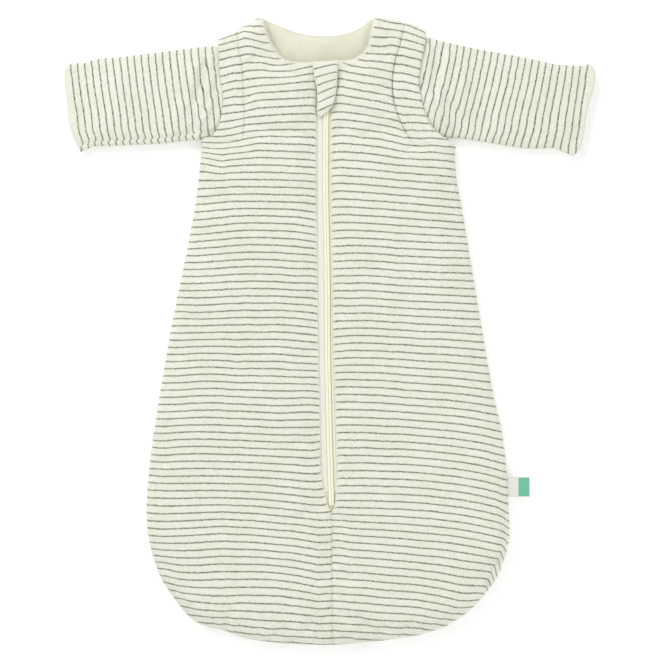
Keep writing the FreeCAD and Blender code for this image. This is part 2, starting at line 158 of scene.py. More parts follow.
def inside(outline, points):
    """Which points are inside the closed outline."""
    a, b = outline, np.roll(outline, -1, axis=0)
    result = np.zeros(len(points), bool)
    for start in range(0, len(points), 4000):
        x, y = points[start:start + 4000, 0:1], points[start:start + 4000, 1:2]
        across = (a[:, 1] > y) != (b[:, 1] > y)
        rise = np.where(b[:, 1] == a[:, 1], 1e-9, b[:, 1] - a[:, 1])
        left = x < (b[:, 0] - a[:, 0]) * (y - a[:, 1]) / rise + a[:, 0]
        result[start:start + 4000] = (across & left).sum(1) % 2 == 1
    return result


def ease(value):
    """0 to 1 with a soft start and end."""
    value = np.clip(value, 0, 1)
    return value * value * (3 - 2 * value)


def dome(gap, reach):
    """0 at an edge, rising steeply and then levelling off to 1 at the reach."""
    return np.sqrt(np.clip(1 - (1 - np.clip(gap / reach, 0, 1)) ** 2, 0, 1))


def ripple(x, y, size, seed):
    """Soft unevenness between -1 and 1."""
    return np.array([noise.noise((u / size, v / size, seed)) for u, v in zip(x, y)])


# ---- meshes
def grid_cells(index):
    """The square cells between rows of point numbers."""
    return np.stack([index[:-1, :-1], index[:-1, 1:], index[1:, 1:], index[1:, :-1]],
                    -1).reshape(-1, 4)


def cloth_grid(outline, step):
    """Square cells inside the outline, with the border points moved onto it."""
    low, high = outline.min(0) - step, outline.max(0) + step
    nx, ny = (np.ceil((high - low) / step)).astype(int) + 1
    gx, gy = np.meshgrid(low[0] + step * np.arange(nx), low[1] + step * np.arange(ny))
    points = np.column_stack([gx.ravel(), gy.ravel()])
    closed = np.vstack([outline, outline[:1]])
    gap, foot = distance_to(closed, points)
    gap = np.where(inside(outline, points), gap, -gap)
    keep = gap > -0.45 * step
    cells = grid_cells(np.arange(nx * ny).reshape(ny, nx))
    cells = cells[keep[cells].all(1)]
    for _ in range(3):  # a cell that hangs on by one corner is left out
        edges = np.sort(np.stack([cells, np.roll(cells, -1, 1)], -1).reshape(-1, 2), 1)
        _, where, count = np.unique(edges, axis=0, return_inverse=True, return_counts=True)
        shared = (count[where.ravel()] > 1).reshape(-1, 4).sum(1)
        cells = cells[shared > 1]
    used, cells = np.unique(cells, return_inverse=True)
    cells = cells.reshape(-1, 4)
    points, foot = points[used], foot[used]
    on_rim = np.unique(border_edges(cells))
    points[on_rim] = foot[on_rim]
    return points, cells


def border_edges(cells):
    """Directed edges that belong to one cell only."""
    edges = np.stack([cells, np.roll(cells, -1, 1)], -1).reshape(-1, 2)
    _, where, count = np.unique(np.sort(edges, 1), axis=0, return_inverse=True, return_counts=True)
    return edges[count[where.ravel()] == 1]


def make_mesh(name, vertices, faces, pattern=None, plain=None):
    """A smooth-shaded object. pattern is each vertex's place in the cloth before it was sewn, and
    plain is 1 where the cloth turns under and shows no stripe."""
    mesh = bpy.data.meshes.new(name)
    mesh.from_pydata((np.asarray(vertices) * MM).tolist(), [], [list(map(int, f)) for f in faces])
    mesh.validate()
    mesh.update()
    if pattern is not None:
        attribute = mesh.attributes.new("pattern", "FLOAT_VECTOR", "POINT")
        attribute.data.foreach_set("vector", np.asarray(pattern, np.float32).ravel())
    if plain is not None:
        attribute = mesh.attributes.new("plain", "FLOAT", "POINT")
        attribute.data.foreach_set("value", np.asarray(plain, np.float32).ravel())
    mesh.polygons.foreach_set("use_smooth", [True] * len(mesh.polygons))
    obj = bpy.data.objects.new(name, mesh)
    bpy.context.scene.collection.objects.link(obj)
    return obj


def shell(name, points, cells, top, bottom, pattern, plain=None):
    """A closed piece between two heights over the same cells."""
    count = len(points)
    upper = np.column_stack([points, top])
    lower = np.column_stack([points, bottom])
    rim = border_edges(cells)
    walls = np.column_stack([rim[:, 0], rim[:, 0] + count, rim[:, 1] + count, rim[:, 1]])
    faces = np.vstack([cells, cells[:, ::-1] + count, walls])
    if plain is not None:
        plain = np.concatenate([plain, plain])
    return make_mesh(name, np.vstack([upper, lower]), faces, np.vstack([pattern, pattern]), plain)


def front_parts(cells, is_lapel):
    """The front and its lapel: what each is called, its body, the points it uses, its cells."""
    for part, chosen, body in (("front_", ~is_lapel, "bag"), ("lapel_", is_lapel, None)):
        used, renumbered = np.unique(cells[chosen], return_inverse=True)
        yield part, body, used, renumbered.reshape(-1, 4)


# ---- cloth simulation
def puff(points, cells, height, pinned, pressure, slack, most, frames=22):
    """Sews a loose sheet down at its pinned points, blows it up a little and lets it settle."""
    start = np.column_stack([points, height])
    obj = make_mesh("loose_sheet", start, cells)
    group = obj.vertex_groups.new(name="pinned")
    group.add([int(i) for i in np.flatnonzero(pinned)], 1.0, "REPLACE")
    cloth = obj.modifiers.new("Cloth", "CLOTH")
    settings = cloth.settings
    settings.quality = 6
    settings.mass = 0.25
    settings.tension_stiffness = settings.compression_stiffness = 12
    settings.shear_stiffness = 6
    settings.bending_stiffness = 0.6
    settings.vertex_group_mass = "pinned"
    settings.shrink_min = -slack
    settings.use_pressure = True
    settings.uniform_pressure_force = pressure
    settings.effector_weights.gravity = 0
    cloth.collision_settings.use_collision = False
    cloth.point_cache.frame_start, cloth.point_cache.frame_end = 1, frames
    scene = bpy.context.scene
    for number in range(1, frames + 1):
        scene.frame_set(number)
    settled = obj.evaluated_get(bpy.context.evaluated_depsgraph_get()).data
    place = np.zeros(len(points) * 3)
    settled.vertices.foreach_get("co", place)
    moved = place.reshape(-1, 3) / MM - start
    scene.frame_set(1)
    bpy.data.objects.remove(obj, do_unlink=True)
    size = np.linalg.norm(moved, axis=1)[:, None]
    return moved * np.minimum(1, most / np.maximum(size, 1e-9))


# ---- materials
class Nodes:
    """Short names for building a material's node tree."""

    def __init__(self, name):
        self.material = bpy.data.materials.new(name)
        self.material.use_nodes = True
        self.tree = self.material.node_tree
        self.shader = self.tree.nodes["Principled BSDF"]

    def add(self, kind, inputs=None, **settings):
        node = self.tree.nodes.new("ShaderNode" + kind)
        for key, setting in settings.items():
            setattr(node, key, setting)
        for key, source in (inputs or {}).items():
            self.feed(node, key, source)
        return node

    def feed(self, node, key, source):
        if isinstance(source, bpy.types.NodeSocket):
            self.tree.links.new(source, node.inputs[key])
        else:
            node.inputs[key].default_value = source

    def finish(self, **sockets):
        """Feeds the shader's sockets, which are named here with _ for a space."""
        for key, source in sockets.items():
            self.feed(self.shader, key.replace("_", " "), source)
        return self.material

    def cloth(self):
        """Each point's place in the flat cloth."""
        return self.add("Attribute", attribute_name="pattern").outputs["Vector"]

    def math(self, operation, *inputs):
        return self.add("Math", dict(enumerate(inputs)), operation=operation).outputs[0]

    def ramp(self, source, low, high, start=0.0, end=1.0):
        node = self.add("MapRange", {"Value": source, "From Min": low, "From Max": high,
                                     "To Min": start, "To Max": end}, clamp=True)
        return node.outputs["Result"]

    def mix(self, amount, first, second, blend_type="MIX"):
        node = self.add("Mix", data_type="RGBA", blend_type=blend_type)
        for index, source in ((0, amount), (6, first), (7, second)):
            self.feed(node, index, source)
        return node.outputs[2]

    def noise(self, vector, scale, detail=2.0):
        return self.add("TexNoise", {"Vector": vector, "Scale": scale, "Detail": detail}).outputs[0]

    def wave(self, vector, scale, distortion, direction, **more):
        inputs = {"Vector": vector, "Scale": scale, "Distortion": distortion, **more}
        return self.add("TexWave", inputs, bands_direction=direction).outputs["Fac"]

    def bump(self, height, strength, distance, **more):
        inputs = {"Height": height, "Strength": strength, "Distance": distance, **more}
        return self.add("Bump", inputs).outputs["Normal"]


def rgb(red, green, blue):
    """A colour given as it looks on screen, 0 to 255."""
    def linear(c):
        c /= 255
        return c / 12.92 if c <= 0.04045 else ((c + 0.055) / 1.055) ** 2.4
    return (linear(red), linear(green), linear(blue), 1.0)


CREAM, CREAM_DEEP, STRIPE = rgb(243, 243, 229), rgb(238, 238, 221), rgb(101, 108, 86)
LINING, LINING_DEEP = rgb(239, 239, 220), rgb(228, 227, 206)
# TAPE_SEWN_SHADE is painted shade for the groove beside the chain, along its stitching line
TAPE_LIGHT, TAPE_DEEP, TAPE_SEWN_SHADE = rgb(252, 252, 247), rgb(238, 238, 226), rgb(192, 194, 146)


def striped_terry():
    """Looped knit with thin printed-in stripes that run along the cloth's own threads."""
    n = Nodes("striped_terry")
    cloth = n.cloth()
    across, along, pitch = n.add("SeparateXYZ", {"Vector": cloth}).outputs
    wobble = n.math("MULTIPLY", n.math("SUBTRACT", n.noise(cloth, 0.12), 0.5), 1.2)
    fray = n.math("MULTIPLY", n.math("SUBTRACT", n.noise(cloth, 0.7, 3.0), 0.5), 1.6)
    place = n.math("ADD", n.math("ADD", along, wobble), fray)
    turn = n.math("FRACT", n.math("ADD", n.math("DIVIDE", place, pitch), 0.5))
    gap = n.math("MULTIPLY", n.math("ABSOLUTE", n.math("SUBTRACT", turn, 0.5)), pitch)
    line = n.ramp(gap, 0.4, 1.2, 1.0, 0.0)
    thread = n.add("CombineXYZ", {"X": n.math("MULTIPLY", across, 0.55), "Y": along}).outputs[0]
    broken = n.ramp(n.noise(thread, 0.8, 4.0), 0.36, 0.58, 0.52, 1.0)
    plain = n.add("Attribute", attribute_name="plain").outputs["Fac"]
    line = n.math("MULTIPLY", n.math("MULTIPLY", line, broken), n.math("SUBTRACT", 1.0, plain))
    ground = n.mix(n.ramp(n.noise(cloth, 0.045, 3.0), 0.35, 0.7), CREAM, CREAM_DEEP)
    speckle = n.ramp(n.noise(cloth, 0.55, 4.0), 0.3, 0.72, 0.9, 1.04)
    grey = n.add("CombineColor", {"Red": speckle, "Green": speckle, "Blue": speckle}).outputs[0]
    loops = n.add("TexVoronoi", {"Vector": cloth, "Scale": 0.95,
                                 "Randomness": 0.85}).outputs["Distance"]
    nap = n.bump(loops, 0.35, 0.0006)
    return n.finish(Base_Color=n.mix(line, n.mix(1.0, ground, grey, "MULTIPLY"), STRIPE),
                    Normal=n.bump(n.noise(cloth, 0.35, 3.0), 0.3, 0.0008, Normal=nap),
                    Roughness=n.ramp(loops, 0.0, 0.8, 0.86, 0.97),
                    Specular_IOR_Level=0.18, Sheen_Weight=0.25, Sheen_Roughness=0.6)


def lining_jersey():
    """Fine plain knit: rows of small stitches and faint cloudiness."""
    n = Nodes("lining_jersey")
    cloth = n.cloth()
    rows, stitches = [n.wave(cloth, 1.3 / math.tau, 1.2, way, Detail=1.0) for way in "XY"]
    knit = n.bump(n.math("MULTIPLY", rows, stitches), 0.25, 0.0003)
    cloud = n.ramp(n.noise(cloth, 0.05, 3.0), 0.3, 0.7)
    return n.finish(Base_Color=n.mix(cloud, LINING, LINING_DEEP),
                    Normal=n.bump(n.noise(cloth, 0.2, 2.0), 0.15, 0.0006, Normal=knit),
                    Roughness=n.ramp(stitches, 0.0, 1.0, 0.8, 0.92),
                    Specular_IOR_Level=0.2, Sheen_Weight=0.15)


def zip_tape_cloth():
    """Narrow woven tape with fine cross ribs, and an olive band just outside the chain where it is sewn on:
    painted shade of the groove there, stronger on the right tape.
    """
    n = Nodes("zip_tape")
    cloth = n.cloth()
    ribs, warp = n.wave(cloth, 1.15 / math.tau * 2, 0.6, "Y"), n.wave(cloth, 0.9, 0.4, "X")
    beside = n.add("SeparateXYZ", {"Vector": cloth}).outputs[0]
    across = n.math("ABSOLUTE", beside)
    # painted shade: olive band from 2.4 to 4.1 across, the groove between chain and cloth; the left tape
    # gets 0.55 of it
    sewn = n.math("MULTIPLY", n.ramp(across, 2.4, 3.0), n.ramp(across, 3.5, 4.1, 1.0, 0.0))
    sewn = n.math("MULTIPLY", sewn, n.ramp(beside, -0.5, 0.5, 0.55, 1.0))
    weave = n.math("ADD", ribs, n.math("MULTIPLY", warp, 0.4))
    tone = n.mix(n.ramp(ribs, 0.15, 0.8), TAPE_DEEP, TAPE_LIGHT)
    return n.finish(Base_Color=n.mix(sewn, tone, TAPE_SEWN_SHADE), Normal=n.bump(weave, 0.5, 0.0003),
                    Roughness=n.ramp(ribs, 0.0, 1.0, 0.75, 0.62), Specular_IOR_Level=0.3)


def coil_nylon(name, colour, shade, painted_glow):
    """Smooth nylon with a soft shine and mottled tone; emission in its own colour is a painted glow that
    brightens the chain.
    """
    n = Nodes(name)
    mottle = n.noise(n.add("TexCoord").outputs["Object"], 900.0)
    return n.finish(Base_Color=n.mix(mottle, shade, colour), Normal=n.bump(mottle, 0.1, 0.0001),
                    Roughness=n.ramp(mottle, 0.2, 0.8, 0.34, 0.46),
                    Emission_Color=colour, Emission_Strength=painted_glow)


def slider_enamel():
    """Cream lacquer over a cast slider: faint orange peel and duller edges."""
    n = Nodes("slider_enamel")
    peel = n.noise(n.add("TexCoord").outputs["Object"], 700.0)
    worn = n.ramp(n.add("NewGeometry").outputs["Pointiness"], 0.52, 0.6)
    return n.finish(Base_Color=n.mix(worn, rgb(244, 241, 224), rgb(216, 210, 190)),
                    Normal=n.bump(peel, 0.15, 0.00015), Roughness=n.ramp(peel, 0.2, 0.8, 0.22, 0.34),
                    Coat_Weight=0.3, Coat_Roughness=0.12)


def woven_label(name, colour, shade):
    """Tight satin weave of a sewn-in label."""
    n = Nodes(name)
    cloth = n.cloth()
    threads = n.wave(cloth, 0.9, 0.8, "Y")
    weave = n.math("MULTIPLY", threads, n.wave(cloth, 0.6, 0.8, "X"))
    return n.finish(Base_Color=n.mix(n.ramp(weave, 0.1, 0.7), shade, colour),
                    Normal=n.bump(weave, 0.4, 0.0002),
                    Roughness=n.ramp(threads, 0.0, 1.0, 0.55, 0.42), Specular_IOR_Level=0.35)


# each finish, with the record's slot that it stands for
TERRY = striped_terry(), "striped_terry"
JERSEY = lining_jersey(), "lining_jersey"
TAPE = zip_tape_cloth(), "zip_tape"
# the chain's last figure, 0.09, is a painted glow: emission that brightens the teeth where they shade each
# other
COIL = coil_nylon("zip_coil", rgb(255, 255, 236), rgb(253, 252, 226), 0.09), "zip_coil"
# the bottom stop is a real part, coloured olive-dark as painted shade of the gap at the zip's tip
STOP_PAINTED_SHADE = coil_nylon("zip_stop_painted_shade", rgb(214, 212, 168), rgb(196, 195, 146), 0.0), "zip_coil"
LABEL_WHITE = woven_label("label_white", rgb(250, 250, 246), rgb(232, 232, 226)), "label_white"
LABEL_GREEN = woven_label("label_green", rgb(134, 214, 180), rgb(106, 192, 156)), "label_green"
ENAMEL = slider_enamel()


# ---- how the stripes lie
# How far above its level line a stripe is at each column X: a row for each height Y on the bag.
LEFT_COLUMNS = [-200, -184, -167, -145, -121, -108, -100, -94, -80, -60, -40, -24, -12]
LEFT_LIFTS = {
    347: [-8, -8, -8, -8, -6, -5, 0, 2, 4, 5, 6, 7, 8],
    331: [-6, -6, -6, -6, -4, 0.5, 3.5, 4.5, 1.5, 2, 5, 7, 8],
    315: [-4, -4, -4, -3, -1.5, 1.5, 3, 4.5, 2, -1.5, 3, 6, 7],
    290.5: [-6, -6, -6, -6, -5, -1.5, -1, 1, 1.5, 0, 1.5, 5.5, 7.5],
    274: [-8, -8, -8, -8, -6.5, -3, -2.5, -1.5, 0, 1, 3, 5, 6.5],
    258: [-8, -8, -8, -8, -6.5, -4.5, -4.5, -3.5, 0, 1, 2, 3.5, 4],
    234: [-9, -9, -9, -9, -8, -6, -4, -2.5, -1.5, 0, 0.5, 1, 1],
    210: [2, 2, 2, -3, -6, -4.5, -3.5, -2, 0, -0.5, -1, -1, -1],
    186: [3, 3, 3, 3, -2, -1, -0.5, 0, 0.5, 0, -1, -1.5, -1.5],
    161: [-1, -1, -1, -1, -0.5, 0.5, 0.5, 0.5, 0.5, 0, -0.5, -1, -1],
    113: [-4, -4, -4, -3.5, -2, -0.5, 0, 0.5, 0.5, 0, -1, -3, -4],
    63: [-2, -2, -2, -2, -1, 0, 0, 0.5, 0.5, 0, -1.5, -1.5, -2],
    15: [-1, -1, -1, -1.5, -0.5, 0, 0, 0.5, 0, 0.5, -0.5, -2, -3],
    -33: [-0.5, -0.5, -0.5, 1, 1, 0, -0.5, 0, 0, 0, -1.5, -2.5, -2.5],
    -81: [0, 0, 0.5, 2, 2, 1, 1, 0.5, 0, -1, -0.5, 0, -1],
    -129: [0.5, 0, 1.5, 2, 1.5, 1, 1, 0.5, 0, -1, -1.5, -2.5, -2],
    -177: [1.5, 1, 1, 1.5, 1.5, 1, 1, 0.5, 0, -1.5, -3.5, -5.5, -6.5],
    -225: [-1, -1, -0.5, 0.5, 2, 1.5, 1, 1, 0, -2, -3.5, -6, -8],
    -273: [2.5, 2.5, 0, -1, 0, 0, 0, 0, 0, -1, -3.5, -6.5, -9],
    -297: [2, 2, 1.5, -1, -3, -2.5, -2, -2, -2.5, -3, -5, -7, -9],
    -321: [-2, -2, -2, -1.5, -2.5, -3, -3.5, -4, -5.5, -6.5, -7, -8.5, -10],
    -345: [-4, -4, -4, -4, -4, -4.5, -5, -5.5, -6.5, -7.5, -8, -9, -10.5],
}
RIGHT_COLUMNS = [11, 22, 38, 56, 68, 75, 82, 90, 100, 112, 123, 145, 167, 184, 198]
RIGHT_LIFTS = {
    341: [26, 24, 21, 17, 14, 13, 12, 9, 4, -1, -4, -6, -6, -6, -6],
    333: [25, 23, 20, 16, 13, 12, 11, 8.5, 4, -1, -4, -6, -6, -6, -6],
    308: [21, 18, 13, 11, 12, 11, 9.5, 7.5, 5, 1, -2, -4, -4, -4, -4],
    283: [18, 14.5, 11.5, 9.5, 7.5, 6, 5.5, 3.5, 1, -2, -4, -6, -6, -6, -6],
    258.5: [15.5, 13, 10, 7.5, 5, 3, 3, 1.5, 0, -1.5, -3, -4, -4, -4, -4],
    234: [12.5, 11, 9, 6, 4, 2.5, 0, 0.5, 0, -1, -2, -3, -3, -3, -3],
    209: [11, 10, 8, 6, 3.5, 2, 0.5, 0, -1, 0, -1, -2, -2, -2, -2],
    184: [8.5, 7.5, 6.5, 4.5, 3, 2, 1.5, 1, 0, -0.5, -1, -2, -3, -3, -3],
    134: [6, 5.5, 4.5, 3.5, 2.5, 2, 1.5, 1, 0, -1, -1.5, -3, -4, -4, -4],
    83: [3.5, 4, 4, 3, 2, 1, 1, 0.5, 0, -0.5, -1, -1, -2, -3, -3],
    33: [4, 3.5, 4, 3, 2, 1.5, 1, 0.5, 0, -0.5, -1, -2, -3, -4, -4],
    -16: [2.5, 3.5, 3.5, 3, 2, 2, 1.5, 1, 0, -0.5, -1, -2.5, -4, -5, -6],
    -66: [4.5, 4.5, 4, 3.5, 2.5, 2, 1, 0.5, 0, -1, -1.5, -3.5, -6.5, -9, -11],
    -116: [3.5, 3.5, 3.5, 2.5, 2, 2, 1.5, 1, 0, -1, -2, -4.5, -8, -12, -15],
    -190: [2.5, 2.5, 2.5, 2, 1.5, 1.5, 1, 0.5, 0, -1, -2.5, -5, -9, -13, -18],
    -240: [7.5, 6, 5, 4, 3, 2.5, 2, 1, 0, -1, -2, -5, -8.5, -12, -15],
    -288: [6.5, 6, 5.5, 3.5, 2.5, 2, 1.5, 1, 0, -2, -4, -8.5, -10, -14, -17],
    -338: [6.5, 6, 4.5, 3, 2.5, 2, 2, 1, 0, -2, -4, -8, -10, -12, -12],
}


def stripe_place(side, x, y):
    """How far along the flat cloth each point is, from stripe lines that bend with the lifts."""
    columns, lifts = (LEFT_COLUMNS, LEFT_LIFTS) if side == "left" else (RIGHT_COLUMNS, RIGHT_LIFTS)
    rows = sorted(lifts)
    values = [lifts[row] for row in rows]
    level = np.array(y, float)
    for _ in range(5):
        level = y - table(rows, columns, values, x, level)
    return level


def level_pattern(points, pitch=1.0):
    """For cloth that lies as it was cut."""
    return np.column_stack([points, np.full(len(points), pitch)])


def front_pattern(side, x, y):
    pitch, start = (LEFT_PITCH, LEFT_START) if side == "left" else (RIGHT_PITCH, RIGHT_START)
    return np.column_stack([x, stripe_place(side, x, y) - start, np.full(len(x), pitch)])


# ---- places
LEAN = math.radians(0.71)


def on_zip(across, along):
    """A place given from the zip's foot: across to the right, and up along the zip."""
    c, s = math.cos(LEAN), math.sin(LEAN)
    return (ZIP_FOOT[0] + across * c - along * s, ZIP_FOOT[1] + across * s + along * c)


NECK_ROW, LAPEL_ROW = 500.3, 19.0  # along the zip: its top, and where lapels start
SWAY = {0: 0, 26: -0.3, 78: -1.3, 184: -2.2, 257: -1.6, 357: -2.0, 430: -0.9, 485: 0, 520: 0}


def beside_zip(across, row):
    """The same, where the chain and the cloth beside it wander a little from the straight line."""
    drift = float(spline(list(SWAY), list(SWAY.values()), np.array([row]))[0])
    return on_zip(across + drift, row)


ZIP_SIDE = {"left": [(0.6, 0.4), (-3.0, 3.5), (-4.2, 9), (-5.6, 17), (-7.4, 26), (-8.8, 36), (-9.5, 50),
                     (-9.5, 200), (-9.5, 350), (-9.5, NECK_ROW)],
            "right": [(0.6, 0.4), (3.2, 5), (4.6, 12), (5.4, 24), (6.6, 60), (6.8, 90), (5.6, 180),
                      (5.2, 300), (5.2, 400), (5.2, NECK_ROW)]}
ZIP_EDGE = {side: [(1.7, -198.6)] + [beside_zip(a, r) for a, r in run]
            for side, run in ZIP_SIDE.items()}
SHOULDER = {"left": [(-76, 350.5), (-82, 350), (-91, 344.5), (-104, 337.5)],
            "right": [(50, 351), (56, 351.5), (70, 349), (83, 346.5)]}
STITCH = {"left": [(-104, 337.5), (-101.5, 314), (-97.5, 290), (-96.5, 262), (-95, 244),
                   (-96, 228), (-97, 216.5)],
          "right": [(83, 346.5), (82.5, 337), (78, 318), (73, 301.5), (70, 281), (71, 261),
                    (76, 242), (84, 224), (92.5, 209.5)]}
UNDERARM = {"left": [(-97, 216.5), (-112, 216), (-128, 218.5), (-139, 216.5), (-144.5, 212)],
            "right": [(92.5, 209.5), (108, 213.5), (121, 217), (129, 216), (141, 206)]}
SIDE = {"left": [(-144.5, 212), (-143.5, 205), (-145, 190), (-150, 147), (-158, 102), (-167, 57),
                 (-176, 13), (-184, -32), (-191.5, -76), (-197.5, -115), (-202, -150), (-205, -188),
                 (-205, -212), (-202.5, -233), (-197, -255), (-188, -278), (-173, -300),
                 (-159.5, -317), (-151, -324), (-137, -331)],
        "right": [(141, 206), (140, 198), (141.5, 172), (146, 147), (153.5, 102), (161, 57),
                  (168.5, 13), (176, -32), (184, -76), (190.5, -102), (195, -130), (198.5, -165),
                  (200, -200), (200.8, -216), (200.3, -233), (195, -255), (185, -278), (168, -300),
                  (150, -317), (128, -331)]}
HEM = {"left": [(-137, -331), (-118, -334.5), (-104, -340.5), (-88, -344.5), (-51, -349),
                (-20, -350.5), (3, -350.5)],
       "right": [(128, -331), (113, -335.5), (98, -340), (70, -344.5), (27, -349), (3, -350.5)]}
CENTRE_SEAM = [(3, -350.5), (2, -275), (1.7, -198.6)]
NECK = {"left": [ZIP_EDGE["left"][-1], (-24, 299.5), (-35, 299.5), (-45, 301),
                 (-54.5, 306), (-63.5, 317), (-70, 331), (-76, 350.5)],
        "right": [ZIP_EDGE["right"][-1], (12, 301.3), (21, 302), (29, 304), (38, 311),
                  (43.5, 320), (46.5, 335), (50, 351)]}
BACK_NECK = [(-76, 350.5), (-62, 345), (-49, 339.5), (-30, 333.5), (-10, 331.3), (12, 332.5),
             (31, 339), (44, 348), (50, 351)]
FLAP_EDGE = {"left": [(-104, 337.5), (-113, 331.5), (-124.5, 324.5), (-123.5, 308), (-123.5, 291),
                      (-121, 274), (-119.5, 259), (-121, 242), (-125.5, 226), (-131, 218.5)],
             "right": [(83, 346.5), (95, 343), (104.5, 337.5), (107, 329), (102, 301), (99.5, 280),
                       (101, 266), (104, 252), (109, 238), (116, 226), (126, 217.2)]}
FLAP_FOOT = {"left": [(-131, 218.5), (-124, 215.5), (-112, 213.5), (-98, 213.5)],
             "right": [(126, 217.2), (120, 214), (108, 211), (94, 207)]}
FLAP_BEND = {"left": (-99.0, -107.0), "right": (78.0, 86.0)}  # where a flap bends up
ARM_Y = 275  # halfway up the armhole
NECK_MIDDLE = np.array([-5.0, 345.0])
FOLD = {"left": [on_zip(-12, LAPEL_ROW), on_zip(-47, 520)],
        "right": [on_zip(12, LAPEL_ROW), on_zip(42.5, 520)]}
OUTWARD = {"left": -1, "right": 1}


def finish_cloth(obj, finish, nodes, body=None):
    """What the piece looks like, which CAD nodes it stands for, and the body it rides on. A pad
    has its fill as well."""
    material, slot = finish
    obj.data.materials.append(material)
    if nodes:
        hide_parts(*nodes)
    if body:
        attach(obj, body)


def fold_relief(points, folds):
    """Height of the listed folds. A fold is (x, y, x, y, half width, height)."""
    height = np.zeros(len(points))
    for x0, y0, x1, y1, half, rise in folds:
        a, b = np.array([x0, y0], float), np.array([x1, y1], float)
        edge = b - a
        t = np.clip((points - a) @ edge / (edge @ edge), 0, 1)
        gap = np.linalg.norm(points - a - t[:, None] * edge, axis=1)
        height += rise * np.exp(-(gap / half) ** 2)
    return height


FRONT_FOLDS = {
    "left": [(-141, 205, -104, 214, 4, -1.2), (-138, 190, -112, 207, 5, 1.0),
             (-143, 178, -118, 192, 6, -0.8), (-98, 250, -90, 250, 3, 0.7),
             (-96, 226, -84, 222, 4, 0.8), (-112, -337, -104, -318, 4, 1.4),
             (-118, -333, -112, -312, 3, -1.6), (-75, -344, -72, -330, 4, 0.8),
             (-60, -346, -56, -330, 4, -0.6), (-165, -170, -120, -300, 14, -0.6)],
    "right": [(138, 200, 100, 208, 4, -1.2), (137, 184, 108, 200, 5, 1.0),
              (72, 262, 60, 262, 4, 0.7), (78, 240, 66, 236, 4, 0.8),
              (93, 209, 84, 196, 4, -1.4), (92, 200, 104, 192, 4, 0.9),
              (186, -200, 183, -250, 5, 1.2), (150, -140, 120, -290, 14, -0.6)],
}


HEM_ROLL = [(187, -188), (191, -208), (189.5, -236), (186.5, -254), (179.5, -269), (175.5, -281),
            (171, -296)]  # the crease where the lower right edge rolls over
STITCH_DEPTH = {"left": 0.9, "right": 2.6}


def front_level(side, points):
    """Height of the front before seams and folds: full inside, rolled down to the side seam."""
    rolled = np.minimum.reduce([gap_to(run[side], points) for run in (SIDE, HEM, SHOULDER)])
    return SEAM_Z + 0.5 + (FRONT_Z - SEAM_Z - 0.5) * dome(rolled, ROLL)


def front_half(side):
    """The padded front from the side seam to the zip, with its lapel a piece of its own."""
    out = OUTWARD[side]
    runs = {"shoulder": SHOULDER[side], "stitch": STITCH[side], "underarm": UNDERARM[side],
            "side": SIDE[side], "hem": HEM[side], "seam": CENTRE_SEAM, "zip": ZIP_EDGE[side],
            "neck": NECK[side]}
    points, cells = cloth_grid(outline_of(*runs.values()), GRID)
    x, y = points.T
    gap = {name: gap_to(run, points) for name, run in runs.items()}
    any_edge = np.minimum.reduce(list(gap.values()))

    swell = 1.0 + 0.5 * ripple(x, y, 60, 3.1)
    top = front_level(side, points)
    pucker = 0.75 + 0.35 * ripple(x, y, 9, 5.7)
    top -= STITCH_DEPTH[side] * pucker * (1 - dome(gap["stitch"], 5)) * ease((y - 216) / 8)
    top -= 1.4 * (1 - dome(gap["seam"], 5))
    top -= 1.2 * (1 - dome(gap["zip"], 2.5)) + 1.4 * (1 - dome(gap["neck"], 4))
    top += swell * ease((any_edge - 6) / 26) * 1.2
    top += fold_relief(points, FRONT_FOLDS[side]) * ease(any_edge / 5)
    pattern = front_pattern(side, x, y)
    if side == "right":
        top -= 2.8 * np.exp(-(gap_to(HEM_ROLL, points) / 2.4) ** 2) * ease(any_edge / 5)
        crease_x, crease_y = np.array(HEM_ROLL[::-1], float).T
        beyond = np.clip(x - np.interp(y, crease_y, crease_x), 0, None) * (y > crease_y[0])
        pattern[:, 1] += 1.5 * np.exp(-gap["zip"] / 2.5)
        pattern[:, 1] += (0.4 + 0.9 * ease((-225 - y) / 45)) * ease((-186 - y) / 24) * beyond
    else:
        pattern[:, 1] += (1.2 - 3.2 * ease((-60 - y) / 80)) * np.exp(-gap["zip"] / 3)
    plain = np.maximum(1 - ease((gap["zip"] - 0.8) / 1.4), 1 - ease((gap["neck"] - 1.4) / 1.2))

    rim = np.zeros(len(points), bool)
    rim[np.unique(border_edges(cells))] = True
    top = np.maximum(top, SEAM_Z + 0.4)
    shift = puff(points, cells, top, rim | (any_edge < 2.2), pressure=3.0, slack=0.018, most=3.5)
    settled = points + shift[:, :2] * ease(any_edge / 8)[:, None]
    top = top + shift[:, 2] * ease(any_edge / 6)
    bottom = top - EDGE - (PAD - EDGE) * ease(any_edge / 7)

    middle = points[cells].mean(1)
    a, b = np.array(FOLD[side])
    turned = (b - a)[0] * (middle[:, 1] - a[1]) - (b - a)[1] * (middle[:, 0] - a[0])
    is_lapel = (turned * out > 0) & (middle[:, 1] > a[1])
    true_edge = rim & (gap["underarm"] > 1.5)
    for part, body, used, own_cells in front_parts(cells, is_lapel):
        obj = shell(part + side + "_panel", settled[used], own_cells, top[used], bottom[used],
                    pattern[used], plain[used])
        sharpen_cuts(obj, own_cells, true_edge[used])
        nodes = [f"{part}{side}_outer", f"{part}{side}_wadding"]
        finish_cloth(obj, TERRY, nodes, body)
    return obj, points, cells, is_lapel, bottom, gap


def sharpen_cuts(obj, cells, true_edge):
    """Where one cloth was divided into two pieces, shading runs on as if it weren't."""
    count = len(true_edge)
    rim = np.sort(border_edges(cells), 1)
    cut = set(map(tuple, rim[~true_edge[rim].all(1)].tolist()))
    sharp = [p // count == q // count and (min(p, q) % count, max(p, q) % count) in cut
             for p, q in (edge.vertices for edge in obj.data.edges)]
    marks = obj.data.attributes
    layer = marks.get("sharp_edge") or marks.new("sharp_edge", "BOOLEAN", "EDGE")
    layer.data.foreach_set("value", sharp)


